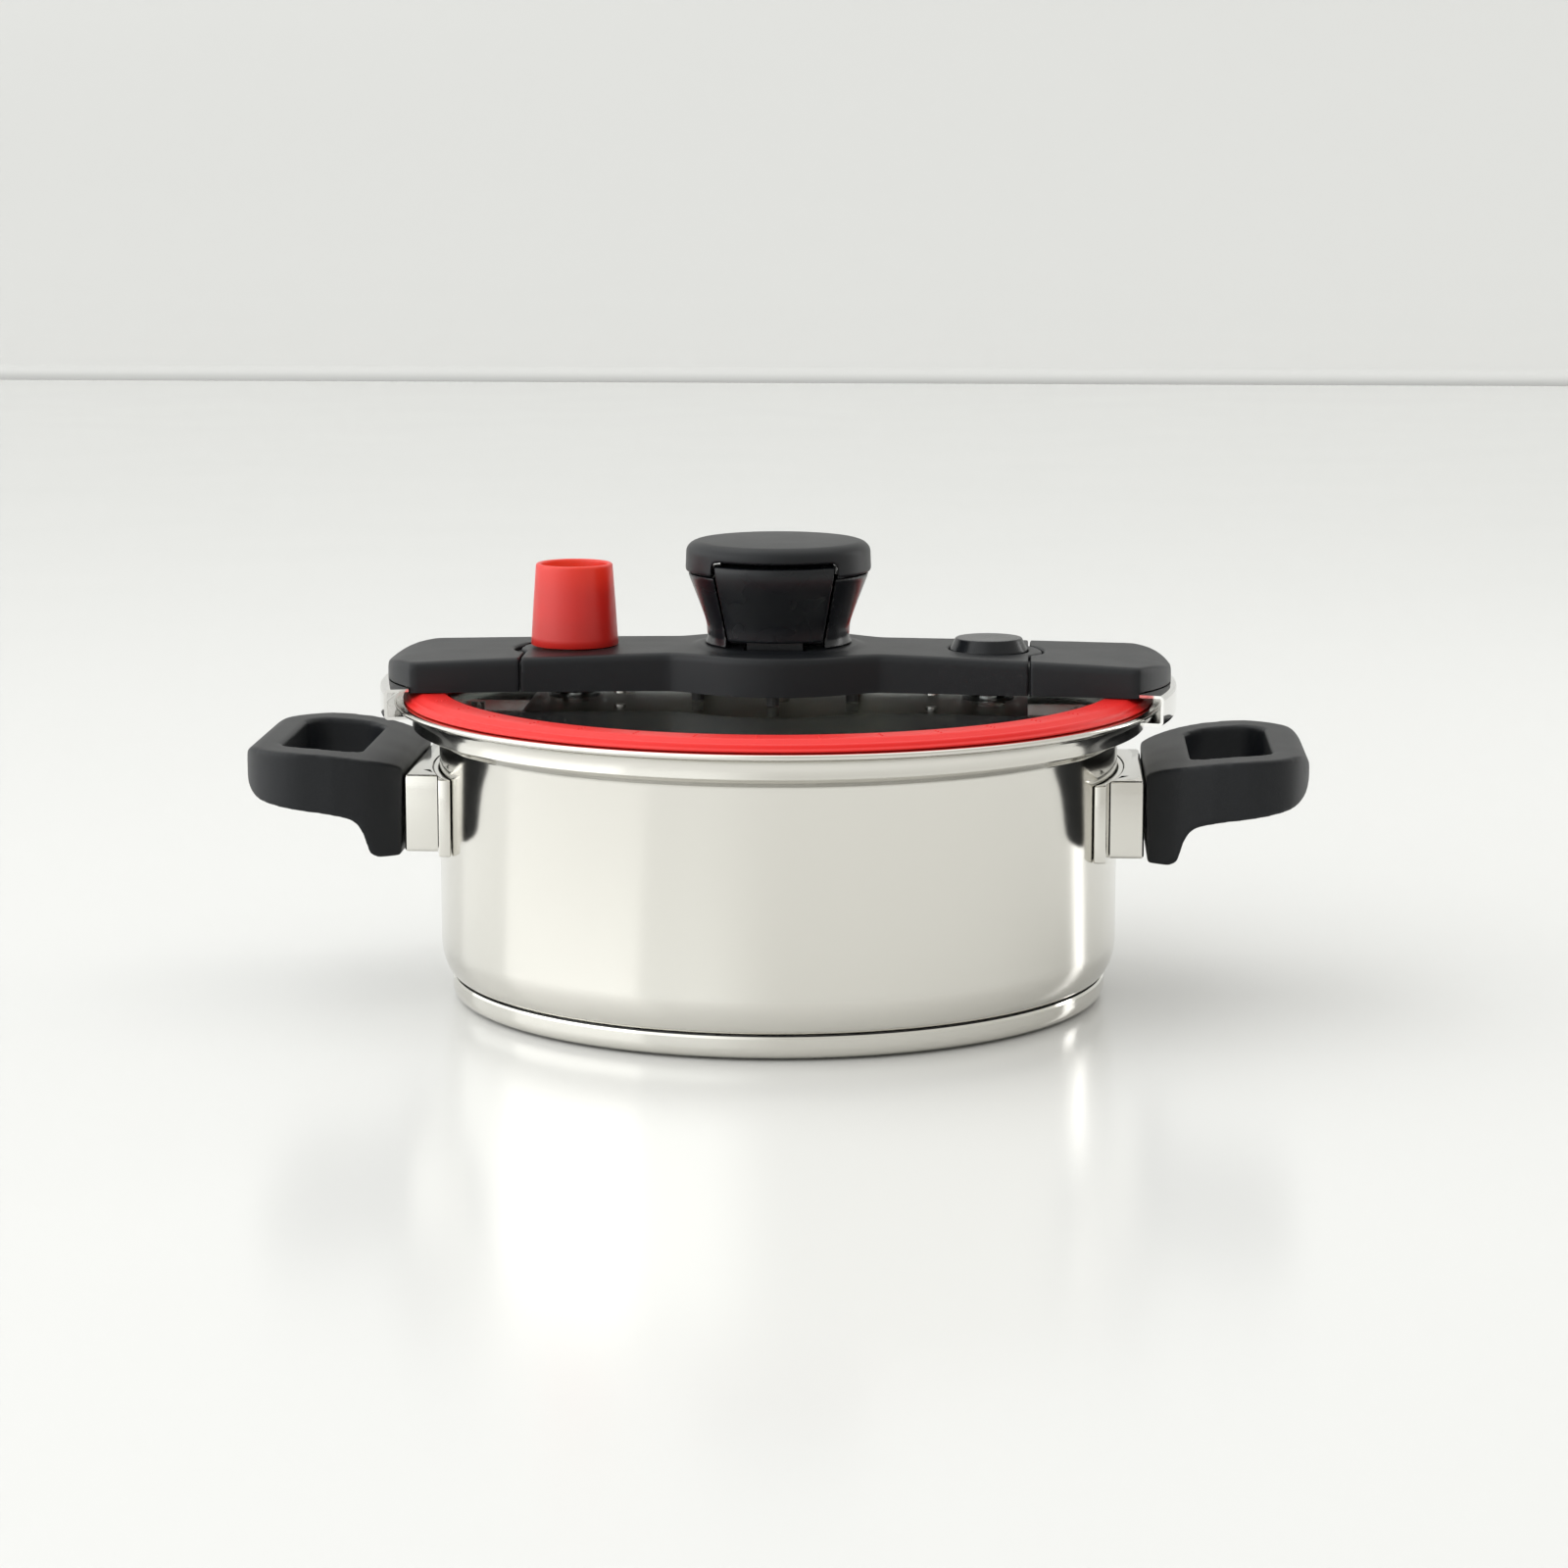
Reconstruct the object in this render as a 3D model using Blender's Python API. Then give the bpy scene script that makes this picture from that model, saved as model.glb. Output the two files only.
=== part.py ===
"""Stovetop pressure cooker with a clamped glass lid, in metres. +Z is up and +X runs through the handles.

The origin is the centre of the base's underside.
"""

import math

import bmesh
import bpy
from mathutils import Matrix, Vector

# Fit
GAP = 0.0003

# Pot
BODY_R = 0.1210
LEDGE_Z = 0.0971
WALL = 0.0010
BASE_H = 0.0080
BASE_R = BODY_R - 0.0038
BASE_FOOT_R = BODY_R - 0.0075
BASE_SKIN = 0.0010
CORNER_W = 0.0060
CORNER_H = 0.0130
LEDGE_R = BODY_R + 0.0094
LIP_R = BODY_R + 0.0157
LIP_Z = LEDGE_Z + 0.0086
LIP_T = 0.0018

# Side handles
HANDLE_IN_X = BODY_R + 0.0092
HANDLE_OUT_X = BODY_R + 0.0669
HANDLE_HALF_Y = 0.0485
HANDLE_ROOT_HALF_Y = 0.0370
HANDLE_TOP_Z = LEDGE_Z - 0.0055
HANDLE_LEG_Z = LEDGE_Z - 0.0435
HANDLE_LEG_W = 0.0079
HANDLE_END_R = 0.0060
FINGER_X = (HANDLE_IN_X + 0.0158, HANDLE_OUT_X - 0.0134)
FINGER_HALF_Y = 0.0345
FINGER_CORNER_R = 0.0095
GUARD_HALF_Y = 0.0365
GUARD_Z = (LEDGE_Z - 0.0423, LEDGE_Z - 0.0149)
GUARD_WALL = 0.0010
BRACKET_HALF_Y = 0.0465
BRACKET_T = 0.0020
BRACKET_EAR_X = BODY_R - 0.0045
LUG_HALF_Y = 0.0100
LUG_Z = (GUARD_Z[0] + 0.0058, GUARD_Z[1] - 0.0016)
HANDLE_SCREW_R = 0.0022
HANDLE_SCREW_Z = GUARD_Z[1] - 0.0071
HANDLE_SCREW_HEAD_R = 0.0040

# Glass lid and its seal
GLASS_R = BODY_R + 0.0025
GLASS_T = 0.0050
GLASS_TOP_Z = LEDGE_Z + 0.0104
SEAL_TOP_Z = GLASS_TOP_Z + 0.0033
SEAL_INNER_R = GLASS_R - 0.0040
SEAL_CREASE_R = LEDGE_R - 0.0019
SEAL_LEG_T = 0.0016

# Vent tube and release valve
VENT_X = -0.6025 * BODY_R
VENT_R = 0.0050
VENT_BORE_R = 0.0015
VALVE_X = 0.6190 * BODY_R
VALVE_R = 0.0060
VALVE_BORE_R = 0.0034
STEM_R = 0.0022
FLANGE_R = VALVE_R + 0.0040
FLANGE_T = 0.0015
GASKET_T = 0.0013

# Bridge over the lid
BRIDGE_BOTTOM_Z = SEAL_TOP_Z + GAP
BRIDGE_H = 0.0139
BRIDGE_TOP_Z = BRIDGE_BOTTOM_Z + BRIDGE_H
BRIDGE_END_TOP_Z = BRIDGE_TOP_Z - 0.0038
BRIDGE_HALF_X = BODY_R + 0.0186
BRIDGE_END_R = 0.0562
BRIDGE_SEAM_X = VALVE_X + 0.0141
SEAM_ARC_R = 0.0190
SEAM_REACH = BRIDGE_SEAM_X + 0.0085
SEAM_GAP = 0.0006
BRIDGE_WAIST_HALF_Y = 0.0225
BRIDGE_END_HALF_Y = 0.0350
BRIDGE_WALL = 0.0020
SIDE_LEAN = 0.0006
TOP_EDGE = 0.0024
HUB_R = 0.0400
HUB_BLEND = 0.0120
FOOT_R = 0.0022
FOOT_RING_R = 0.0355
PLATE_T = 0.0018
PLATE_TOP_Z = BRIDGE_BOTTOM_Z + PLATE_T
DRAWBAR_Z = PLATE_TOP_Z + GAP
DRAWBAR_T = 0.0020
DRAWBAR_HALF_Y = 0.0130
BRIDGE_SCREW_X = 0.0550
BRIDGE_SCREW_Y = 0.0185
SMALL_SCREW_R = 0.0011
DRAWBAR_SCREW_R = 0.0013

# Clamps
CLAMP_R = BODY_R + 0.0202
CLAMP_T = 0.0010
CLAMP_HALF_Y = 0.0400
CLAMP_BOTTOM_Z = LIP_Z - 0.0035
CLAMP_TOP_Z = BRIDGE_BOTTOM_Z + 0.0018
CLAMP_HOOK_R = LIP_R - 0.0032
CLAMP_SCREW_RING_R = CLAMP_R - 0.0052
CLAMP_TRAVEL = 0.0080

# Knob and squeeze buttons
KNOB_R = 0.0330
KNOB_BASE_Z = BRIDGE_TOP_Z + 0.0005 + GAP
KNOB_CAP_Z = KNOB_BASE_Z + 0.0254
KNOB_TOP_Z = KNOB_CAP_Z + 0.0113
KNOB_NECK_R = KNOB_R - 0.0078
KNOB_BASE_R = KNOB_R - 0.0062
KNOB_WEB_HALF = 0.0105
KNOB_SCREW_R = 0.0020
BUTTON_TOP_HALF = 0.0214
BUTTON_BOTTOM_HALF = 0.0166
BUTTON_TOP_Z = KNOB_CAP_Z + 0.0038
BUTTON_BOTTOM_Z = KNOB_BASE_Z + 0.0025
BUTTON_ROOM = 0.0007
BUTTON_TRAVEL = 0.0050
BUTTON_LEG_HALF = 0.0098
BUTTON_LEG_Y = 0.0225
CAM_NOSE_Y = 0.0120
CAM_NOSE_HALF = 0.0060
CAM_DEPTH = 0.0080
SPRING_Y = 0.0090
SPRING_POST_X = 0.0300

# Weight and sleeve on the vent
VENT_TOP_Z = BRIDGE_TOP_Z + 0.0150
SLEEVE_BOTTOM_R = 0.0156
SLEEVE_TOP_R = 0.0137
SLEEVE_TOP_Z = VENT_TOP_Z + 0.0134
SLEEVE_WALL = 0.0018
WEIGHT_R = VENT_R + 0.0055
WEIGHT_LOW_Z = VENT_TOP_Z - 0.0110
WEIGHT_TOP_Z = VENT_TOP_Z + 0.0080

# Release button and strainers
RELEASE_R = 0.0137
RELEASE_TOP_R = 0.0120
RELEASE_TOP_Z = BRIDGE_TOP_Z + 0.0027
RELEASE_TRAVEL = 0.0030
WELL_FLOOR_Z = BRIDGE_TOP_Z - 0.0068
WELL_R = RELEASE_R + 0.0006
CAGE_R = 0.0115
CAGE_WALL = 0.0010
CAGE_H = 0.0180
CAGE_SLOTS = 8

ROUND = 48
HUB_ROUND = 32
SMALL_ROUND = 20


def clear_scene():
    for obj in list(bpy.data.objects):
        bpy.data.objects.remove(obj, do_unlink=True)


def finish_material(name, colour, roughness, metallic, alpha=1.0):
    """One Principled material for a finish."""
    mat = bpy.data.materials.new(name)
    mat.use_nodes = True
    shader = mat.node_tree.nodes["Principled BSDF"]
    shader.inputs["Base Color"].default_value = (*colour, 1.0)
    shader.inputs["Roughness"].default_value = roughness
    shader.inputs["Metallic"].default_value = metallic
    shader.inputs["Alpha"].default_value = alpha
    return mat


def add_object(name, bm, mat, smooth_angle=30.0):
    """Turn a bmesh into a named object with its faces pointing out."""
    bmesh.ops.remove_doubles(bm, verts=bm.verts, dist=1e-7)
    bmesh.ops.recalc_face_normals(bm, faces=bm.faces)
    mesh = bpy.data.meshes.new(name)
    bm.to_mesh(mesh)
    bm.free()
    mesh.shade_smooth()
    mesh.set_sharp_from_angle(angle=math.radians(smooth_angle))
    obj = bpy.data.objects.new(name, mesh)
    obj.data.materials.append(mat)
    bpy.context.scene.collection.objects.link(obj)
    return obj


def arc(cx, cy, rx, ry, start, end, steps):
    """Points on an elliptical arc, angles in degrees."""
    points = []
    for i in range(steps + 1):
        angle = math.radians(start + (end - start) * i / steps)
        points.append((cx + rx * math.cos(angle), cy + ry * math.sin(angle)))
    return points


def lathe_mesh(profile, centre=(0.0, 0.0), steps=SMALL_ROUND):
    """Spin a closed outline of (radius, z) points about a vertical axis."""
    bm = bmesh.new()
    verts = [bm.verts.new((r, 0.0, z)) for r, z in profile]
    edges = [bm.edges.new((verts[i - 1], verts[i])) for i in range(len(verts))]
    bmesh.ops.spin(
        bm,
        geom=verts + edges,
        cent=(0, 0, 0),
        axis=(0, 0, 1),
        angle=math.tau,
        steps=steps,
        use_merge=True,
    )
    bmesh.ops.remove_doubles(bm, verts=bm.verts, dist=1e-7)
    bmesh.ops.dissolve_degenerate(bm, dist=1e-8, edges=bm.edges)
    bmesh.ops.translate(bm, verts=bm.verts, vec=(*centre, 0.0))
    return bm


def prism_mesh(outline, low, high, axis="Z"):
    """Extrude a closed outline between two heights along an axis.

    For Z the outline is (x, y), for Y it is (x, z) and for X it is (y, z).
    """
    place = {
        "Z": lambda u, v, w: (u, v, w),
        "Y": lambda u, v, w: (u, w, v),
        "X": lambda u, v, w: (w, u, v),
    }[axis]
    bm = bmesh.new()
    face = bm.faces.new([bm.verts.new(place(u, v, low)) for u, v in outline])
    grown = bmesh.ops.extrude_face_region(bm, geom=[face])["geom"]
    moved = [item for item in grown if isinstance(item, bmesh.types.BMVert)]
    bmesh.ops.translate(bm, verts=moved, vec=Vector(place(0, 0, high - low)))
    bmesh.ops.recalc_face_normals(bm, faces=bm.faces)
    return bm


def box_mesh(xs, ys, zs):
    return prism_mesh([(xs[0], ys[0]), (xs[1], ys[0]), (xs[1], ys[1]), (xs[0], ys[1])], *zs)


def cylinder_mesh(radius, low, high, centre=(0.0, 0.0), steps=SMALL_ROUND):
    return prism_mesh(
        [(centre[0] + x, centre[1] + y) for x, y in arc(0, 0, radius, radius, 0, 360, steps)[:-1]],
        low,
        high,
    )


def mirrored(bm, axis):
    """Mirror a mesh through the origin along one axis, keeping its faces outward."""
    scale = Vector([-1.0 if name == axis else 1.0 for name in "XYZ"])
    bmesh.ops.scale(bm, vec=scale, verts=bm.verts)
    bmesh.ops.reverse_faces(bm, faces=bm.faces)
    return bm


def combine(obj, bm, operation, name):
    """Cut a helper solid from an object, join it on or keep what they share."""
    helper = add_object(name, bm, obj.data.materials[0])
    helper.hide_render = True
    helper.display_type = "WIRE"
    modifier = obj.modifiers.new(name, "BOOLEAN")
    modifier.operation = operation
    modifier.solver = "EXACT"
    modifier.object = helper


def cut(obj, bm, name):
    combine(obj, bm, "DIFFERENCE", name)


def join(obj, bm, name):
    combine(obj, bm, "UNION", name)


def rounded_box_outline(xs, ys, radius, steps=4):
    """Rectangle with round corners, anticlockwise."""
    corners = [
        (xs[1] - radius, ys[0] + radius, -90),
        (xs[1] - radius, ys[1] - radius, 0),
        (xs[0] + radius, ys[1] - radius, 90),
        (xs[0] + radius, ys[0] + radius, 180),
    ]
    points = []
    for cx, cy, start in corners:
        points += arc(cx, cy, radius, radius, start, start + 90, steps)
    return points


def bridge_top(x):
    """Height of the bridge's top at a place along it."""
    return BRIDGE_TOP_Z + (BRIDGE_END_TOP_Z - BRIDGE_TOP_Z) * (abs(x) / BRIDGE_HALF_X) ** 1.5


def bridge_half_y(x):
    """Half the bridge's width at a place along it: straight sides that swell into a round hub."""
    share = min(1.0, abs(x) / (0.9 * BRIDGE_HALF_X))
    side = BRIDGE_WAIST_HALF_Y + (BRIDGE_END_HALF_Y - BRIDGE_WAIST_HALF_Y) * share**1.3
    hub = math.sqrt(max(0.0, HUB_R**2 - x**2))
    mix = min(1.0, max(0.0, 0.5 + 0.5 * (hub - side) / HUB_BLEND))
    return side + (hub - side) * mix + HUB_BLEND * mix * (1.0 - mix)


def bridge_places(reach):
    """Places along the bridge at which its width is read, closer together at the hub."""
    half = [0.0, 0.014, 0.024, 0.031, 0.036, 0.040, 0.044, 0.050, 0.060, 0.080]
    half = [x for x in half if x < reach - 0.004] + [reach]
    return [-x for x in reversed(half[1:])] + half


# ---------------------------------------------------------------- pot


def shell_outline():
    """Section of the pot's shell: down the outside, then up the inside one wall further in."""
    corner_z = BASE_H + GAP + CORNER_H
    outside = [(0.0, BASE_H + GAP)]
    outside += arc(BODY_R - CORNER_W, corner_z, CORNER_W, CORNER_H, -90, 0, 4)
    outside += [(BODY_R, LEDGE_Z - 0.0040), (BODY_R + 0.0035, LEDGE_Z - 0.0010)]
    outside += [(LEDGE_R, LEDGE_Z), (LEDGE_R + 0.0002, LEDGE_Z + 0.0044)]
    outside += [(LEDGE_R + 0.0018, LEDGE_Z + 0.0066), (LIP_R - 0.0010, LIP_Z - LIP_T / 2)]
    outside += [(LIP_R, LIP_Z), (LIP_R - 0.0008, LIP_Z + LIP_T / 2)]
    inside = [(LEDGE_R + 0.0010, LIP_Z + LIP_T / 2), (LEDGE_R - 0.0008, LEDGE_Z + 0.0050)]
    inside += [(LEDGE_R - 0.0010, LEDGE_Z + 0.0010), (BODY_R + 0.0010, LEDGE_Z - 0.0004)]
    inside += [(BODY_R - WALL, LEDGE_Z - 0.0030)]
    inside += reversed(
        arc(BODY_R - CORNER_W, corner_z, CORNER_W - WALL, CORNER_H - WALL, -90, 0, 4)
    )
    inside += [(0.0, BASE_H + GAP + WALL)]
    return outside + inside


def make_pot(steel, polished, aluminium):
    add_object("pot_shell", lathe_mesh(shell_outline(), steps=ROUND), steel)
    cap = [(0.0, 0.0), (BASE_FOOT_R, 0.0), (BASE_R, 0.0030), (BASE_R, BASE_H)]
    cap += [(BASE_R - BASE_SKIN, BASE_H), (BASE_R - BASE_SKIN, 0.0034)]
    cap += [(BASE_FOOT_R - BASE_SKIN, BASE_SKIN), (0.0, BASE_SKIN)]
    add_object("base_cap", lathe_mesh(cap, steps=ROUND), polished)
    core_r = BASE_FOOT_R - BASE_SKIN - GAP
    core = [(0.0, BASE_SKIN + GAP), (core_r, BASE_SKIN + GAP), (core_r, BASE_H), (0.0, BASE_H)]
    add_object("base_core", lathe_mesh(core, steps=ROUND), aluminium)


def handle_side_outline():
    """Side view (x, z) of a handle, from the foot of its leg round the outer end and back."""
    leg_x = HANDLE_IN_X + HANDLE_LEG_W
    end_x = HANDLE_OUT_X - HANDLE_END_R
    points = [(HANDLE_IN_X + 0.0008, HANDLE_LEG_Z), (leg_x, HANDLE_LEG_Z)]
    points += [(leg_x + 0.0028, HANDLE_LEG_Z + 0.0016), (leg_x + 0.0040, HANDLE_LEG_Z + 0.0046)]
    points += [(leg_x + 0.0054, HANDLE_LEG_Z + 0.0092), (leg_x + 0.0078, HANDLE_LEG_Z + 0.0128)]
    points += [(leg_x + 0.0115, HANDLE_LEG_Z + 0.0147), (leg_x + 0.0200, HANDLE_LEG_Z + 0.0164)]
    points += [(end_x - 0.0070, HANDLE_LEG_Z + 0.0187), (end_x, HANDLE_LEG_Z + 0.0202)]
    points += [(HANDLE_OUT_X - 0.0018, HANDLE_LEG_Z + 0.0235), (HANDLE_OUT_X, HANDLE_LEG_Z + 0.0280)]
    points += arc(end_x, HANDLE_TOP_Z - HANDLE_END_R, HANDLE_END_R, HANDLE_END_R, 0, 90, 3)
    points += [(FINGER_X[0] + 0.0220, HANDLE_TOP_Z), (FINGER_X[0] + 0.0090, HANDLE_TOP_Z - 0.0010)]
    points += [(FINGER_X[0] - 0.0020, HANDLE_TOP_Z - 0.0027), (HANDLE_IN_X, HANDLE_TOP_Z - 0.0070)]
    return points


def handle_plan_outline():
    """Plan (x, y) of a handle: a broad loop, narrower where it meets the pot."""
    half = [(HANDLE_IN_X, HANDLE_ROOT_HALF_Y), (HANDLE_IN_X + 0.0052, HANDLE_ROOT_HALF_Y + 0.0040)]
    half += [(HANDLE_IN_X + 0.0130, HANDLE_HALF_Y - 0.0030)]
    half += [(HANDLE_IN_X + 0.0230, HANDLE_HALF_Y - 0.0004)]
    half += arc(HANDLE_OUT_X - 0.0240, HANDLE_HALF_Y - 0.0300, 0.0240, 0.0300, 90, 0, 8)
    return [(x, -y) for x, y in half] + [(x, y) for x, y in reversed(half)]


def make_handle(side, plastic, steel):
    """Handle, flame guard, welded bracket and screw on one side of the pot."""
    sign = 1.0 if side == "right" else -1.0

    def to_side(bm):
        return bm if sign > 0 else mirrored(bm, "X")

    handle = add_object(
        f"side_handle_{side}",
        to_side(prism_mesh(handle_side_outline(), -HANDLE_HALF_Y - 0.001, HANDLE_HALF_Y + 0.001, "Y")),
        plastic,
    )
    combine(
        handle,
        to_side(prism_mesh(handle_plan_outline(), 0.0, LIP_Z)),
        "INTERSECT",
        f"handle_plan_{side}",
    )
    hole = rounded_box_outline(FINGER_X, (-FINGER_HALF_Y, FINGER_HALF_Y), FINGER_CORNER_R)
    cut(handle, to_side(prism_mesh(hole, 0.0, LIP_Z)), f"finger_hole_{side}")
    screw_hole = HANDLE_SCREW_R + GAP
    bore = arc(0, HANDLE_SCREW_Z, screw_hole, screw_hole, 0, 360, 12)[:-1]
    cut(handle, to_side(prism_mesh(bore, BODY_R, FINGER_X[0] + 0.01, "X")), f"screw_bore_{side}")

    wall_r = BODY_R + GAP
    spread = math.degrees(math.asin(BRACKET_HALF_Y / wall_r))
    outer_r = wall_r + BRACKET_T
    ear = math.degrees(math.acos(BRACKET_EAR_X / outer_r))
    plate = arc(0, 0, wall_r, wall_r, -spread, spread, 10)
    plate += [(BRACKET_EAR_X, BRACKET_HALF_Y)] + arc(0, 0, outer_r, outer_r, ear, -ear, 10)
    plate += [(BRACKET_EAR_X, -BRACKET_HALF_Y)]
    bracket = add_object(f"handle_bracket_{side}", to_side(prism_mesh(plate, *GUARD_Z)), steel)
    lug = box_mesh(
        (BODY_R + BRACKET_T / 2, HANDLE_IN_X - GAP),
        (-LUG_HALF_Y, LUG_HALF_Y),
        LUG_Z,
    )
    join(bracket, to_side(lug), f"lug_{side}")
    thread = prism_mesh(bore, BODY_R + BRACKET_T + 0.0005, HANDLE_OUT_X, "X")
    cut(bracket, to_side(thread), f"thread_{side}")

    guard = add_object(
        f"flame_guard_{side}",
        to_side(box_mesh((BODY_R - 0.011, HANDLE_IN_X - GAP), (-GUARD_HALF_Y, GUARD_HALF_Y), GUARD_Z)),
        steel,
    )
    inner = box_mesh(
        (BODY_R - 0.021, HANDLE_OUT_X),
        (-GUARD_HALF_Y + GUARD_WALL, GUARD_HALF_Y - GUARD_WALL),
        (GUARD_Z[0] + GUARD_WALL, GUARD_Z[1] - GUARD_WALL),
    )
    cut(guard, to_side(inner), f"guard_inside_{side}")
    trim = outer_r + GAP
    cut(guard, cylinder_mesh(trim, 0.0, LIP_Z, steps=2 * ROUND), f"guard_trim_{side}")

    length = (BODY_R + BRACKET_T + 0.0010, FINGER_X[0] + 0.0015)
    shank = arc(0, HANDLE_SCREW_Z, HANDLE_SCREW_R, HANDLE_SCREW_R, 0, 360, 12)[:-1]
    screw = add_object(f"handle_screw_{side}", to_side(prism_mesh(shank, *length, "X")), steel)
    head_r = HANDLE_SCREW_HEAD_R
    head = arc(0, HANDLE_SCREW_Z, head_r, head_r, 0, 360, 16)[:-1]
    head_x = (FINGER_X[0] + GAP, FINGER_X[0] + 0.0022)
    join(screw, to_side(prism_mesh(head, *head_x, "X")), f"screw_head_{side}")


# ---------------------------------------------------------------- glass lid


def make_glass_lid(glass, silicone):
    bottom = GLASS_TOP_Z - GLASS_T
    disc = [(0.0, bottom), (GLASS_R, bottom), (GLASS_R, GLASS_TOP_Z), (0.0, GLASS_TOP_Z)]
    lid = add_object("lid_glass", lathe_mesh(disc, steps=ROUND), glass)
    cut(lid, cylinder_mesh(VENT_R + GAP, 0.0, 0.2, (VENT_X, 0.0)), "vent_hole")
    cut(lid, cylinder_mesh(VALVE_R + GAP, 0.0, 0.2, (VALVE_X, 0.0)), "valve_hole")

    lip_top = LIP_Z + LIP_T / 2 + GAP
    seat_r = LEDGE_R - 0.0010 - GAP
    leg_foot = LEDGE_Z + 0.0010 + GAP
    ring = [(SEAL_INNER_R, SEAL_TOP_Z), (SEAL_INNER_R, GLASS_TOP_Z + GAP)]
    ring += [(GLASS_R + GAP, GLASS_TOP_Z + GAP), (GLASS_R + GAP, bottom - GAP)]
    ring += [(SEAL_INNER_R, bottom - GAP), (SEAL_INNER_R, bottom - GAP - SEAL_LEG_T)]
    ring += [(seat_r - SEAL_LEG_T - 0.0012, bottom - GAP - SEAL_LEG_T)]
    ring += [(seat_r - SEAL_LEG_T, leg_foot), (seat_r - 0.0004, leg_foot)]
    ring += [(seat_r, LEDGE_Z + 0.0045), (LEDGE_R + 0.0002, lip_top)]
    ring += [(LIP_R - 0.0032, lip_top), (LIP_R - 0.0031, lip_top + 0.0006)]
    ring += [(LIP_R - 0.0046, lip_top + 0.0011), (LIP_R - 0.0060, SEAL_TOP_Z - 0.0017)]
    ring += [(SEAL_CREASE_R, SEAL_TOP_Z - 0.0003)]
    add_object("lid_seal_ring", lathe_mesh(ring, steps=ROUND), silicone)


def washer(name, inner, outer, low, high, centre, mat, sides=SMALL_ROUND):
    """A flat ring; six sides outside make it a nut."""
    ring = add_object(name, cylinder_mesh(outer, low, high, centre, sides), mat)
    cut(ring, cylinder_mesh(inner, low - 0.01, high + 0.01, centre), f"{name}_bore")
    return ring


def make_tube(name, x, radius, bore, bottom, top, mat):
    """A threaded tube through lid and bridge, with the flange that holds it under the glass."""
    flange_top = GLASS_TOP_Z - GLASS_T - GASKET_T
    profile = [(bore, bottom), (radius, bottom), (radius, flange_top - FLANGE_T)]
    profile += [(FLANGE_R, flange_top - FLANGE_T), (FLANGE_R, flange_top), (radius, flange_top)]
    profile += [(radius, top), (bore, top)]
    return add_object(name, lathe_mesh(profile, (x, 0.0)), mat)


def make_strainer(name, x, mat):
    """A slotted cup under the glass that keeps food out of the valve."""
    top = GLASS_TOP_Z - GLASS_T - GASKET_T - FLANGE_T - GAP
    low = top - CAGE_H
    cup = [(0.0, low), (CAGE_R, low), (CAGE_R, top), (CAGE_R - CAGE_WALL, top)]
    cup += [(CAGE_R - CAGE_WALL, low + CAGE_WALL), (0.0, low + CAGE_WALL)]
    cage = add_object(name, lathe_mesh(cup, (x, 0.0)), mat)
    slots = bmesh.new()
    for i in range(CAGE_SLOTS // 2):
        slot = box_mesh((-0.02, 0.02), (-0.0010, 0.0010), (low + 0.0030, top - 0.0030))
        turn = Matrix.Rotation(math.pi * (i + 0.5) / (CAGE_SLOTS // 2), 3, "Z")
        bmesh.ops.rotate(slot, verts=slot.verts, matrix=turn)
        bmesh.ops.translate(slot, verts=slot.verts, vec=(x, 0.0, 0.0))
        copy = bpy.data.meshes.new("slot")
        slot.to_mesh(copy)
        slot.free()
        slots.from_mesh(copy)
    combine(cage, slots, "DIFFERENCE", f"{name}_slots")
    cage.modifiers[-1].use_self = True


def coil_spring(name, start, end, radius, wire, turns, mat):
    """A coil between two points, as a bevelled curve."""
    curve = bpy.data.curves.new(name, "CURVE")
    curve.dimensions = "3D"
    curve.bevel_depth = wire
    curve.bevel_resolution = 0
    curve.use_fill_caps = True
    per_turn = 6
    count = turns * per_turn + 1
    spline = curve.splines.new("POLY")
    spline.points.add(count - 1)
    start = Vector(start)
    along = Vector(end) - start
    turn = along.to_track_quat("Z", "Y")
    for i, point in enumerate(spline.points):
        angle = math.tau * i / per_turn
        offset = Vector((radius * math.cos(angle), radius * math.sin(angle), 0.0))
        point.co = (*(start + along * i / (count - 1) + turn @ offset), 1.0)
    obj = bpy.data.objects.new(name, curve)
    obj.data.materials.append(mat)
    bpy.context.scene.collection.objects.link(obj)
    return obj


# ---------------------------------------------------------------- bridge


def bridge_section(x, half, top, low):
    """One cross-section of the bridge, upright sides and a rounded top."""
    side = [(half, low), (half - SIDE_LEAN, top - TOP_EDGE)]
    side += [(half - SIDE_LEAN - 0.3 * TOP_EDGE, top - 0.3 * TOP_EDGE), (half - SIDE_LEAN - TOP_EDGE, top)]
    return [(x, y, z) for y, z in side] + [(x, -y, z) for y, z in reversed(side)]


def loft_mesh(sections):
    """Skin a row of sections with the same number of points, closed at both ends."""
    bm = bmesh.new()
    loops = [[bm.verts.new(point) for point in section] for section in sections]
    for near, far in zip(loops, loops[1:]):
        for i in range(len(near)):
            bm.faces.new((near[i - 1], near[i], far[i], far[i - 1]))
    bm.faces.new(loops[0])
    bm.faces.new(list(reversed(loops[-1])))
    bmesh.ops.recalc_face_normals(bm, faces=bm.faces)
    return bm


def centre_loft(inset, low, reach):
    """The bridge's fixed middle, or the space inside it."""
    return loft_mesh(
        [
            bridge_section(x, bridge_half_y(x) - inset, bridge_top(x) - inset, low)
            for x in bridge_places(reach)
        ]
    )


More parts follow.
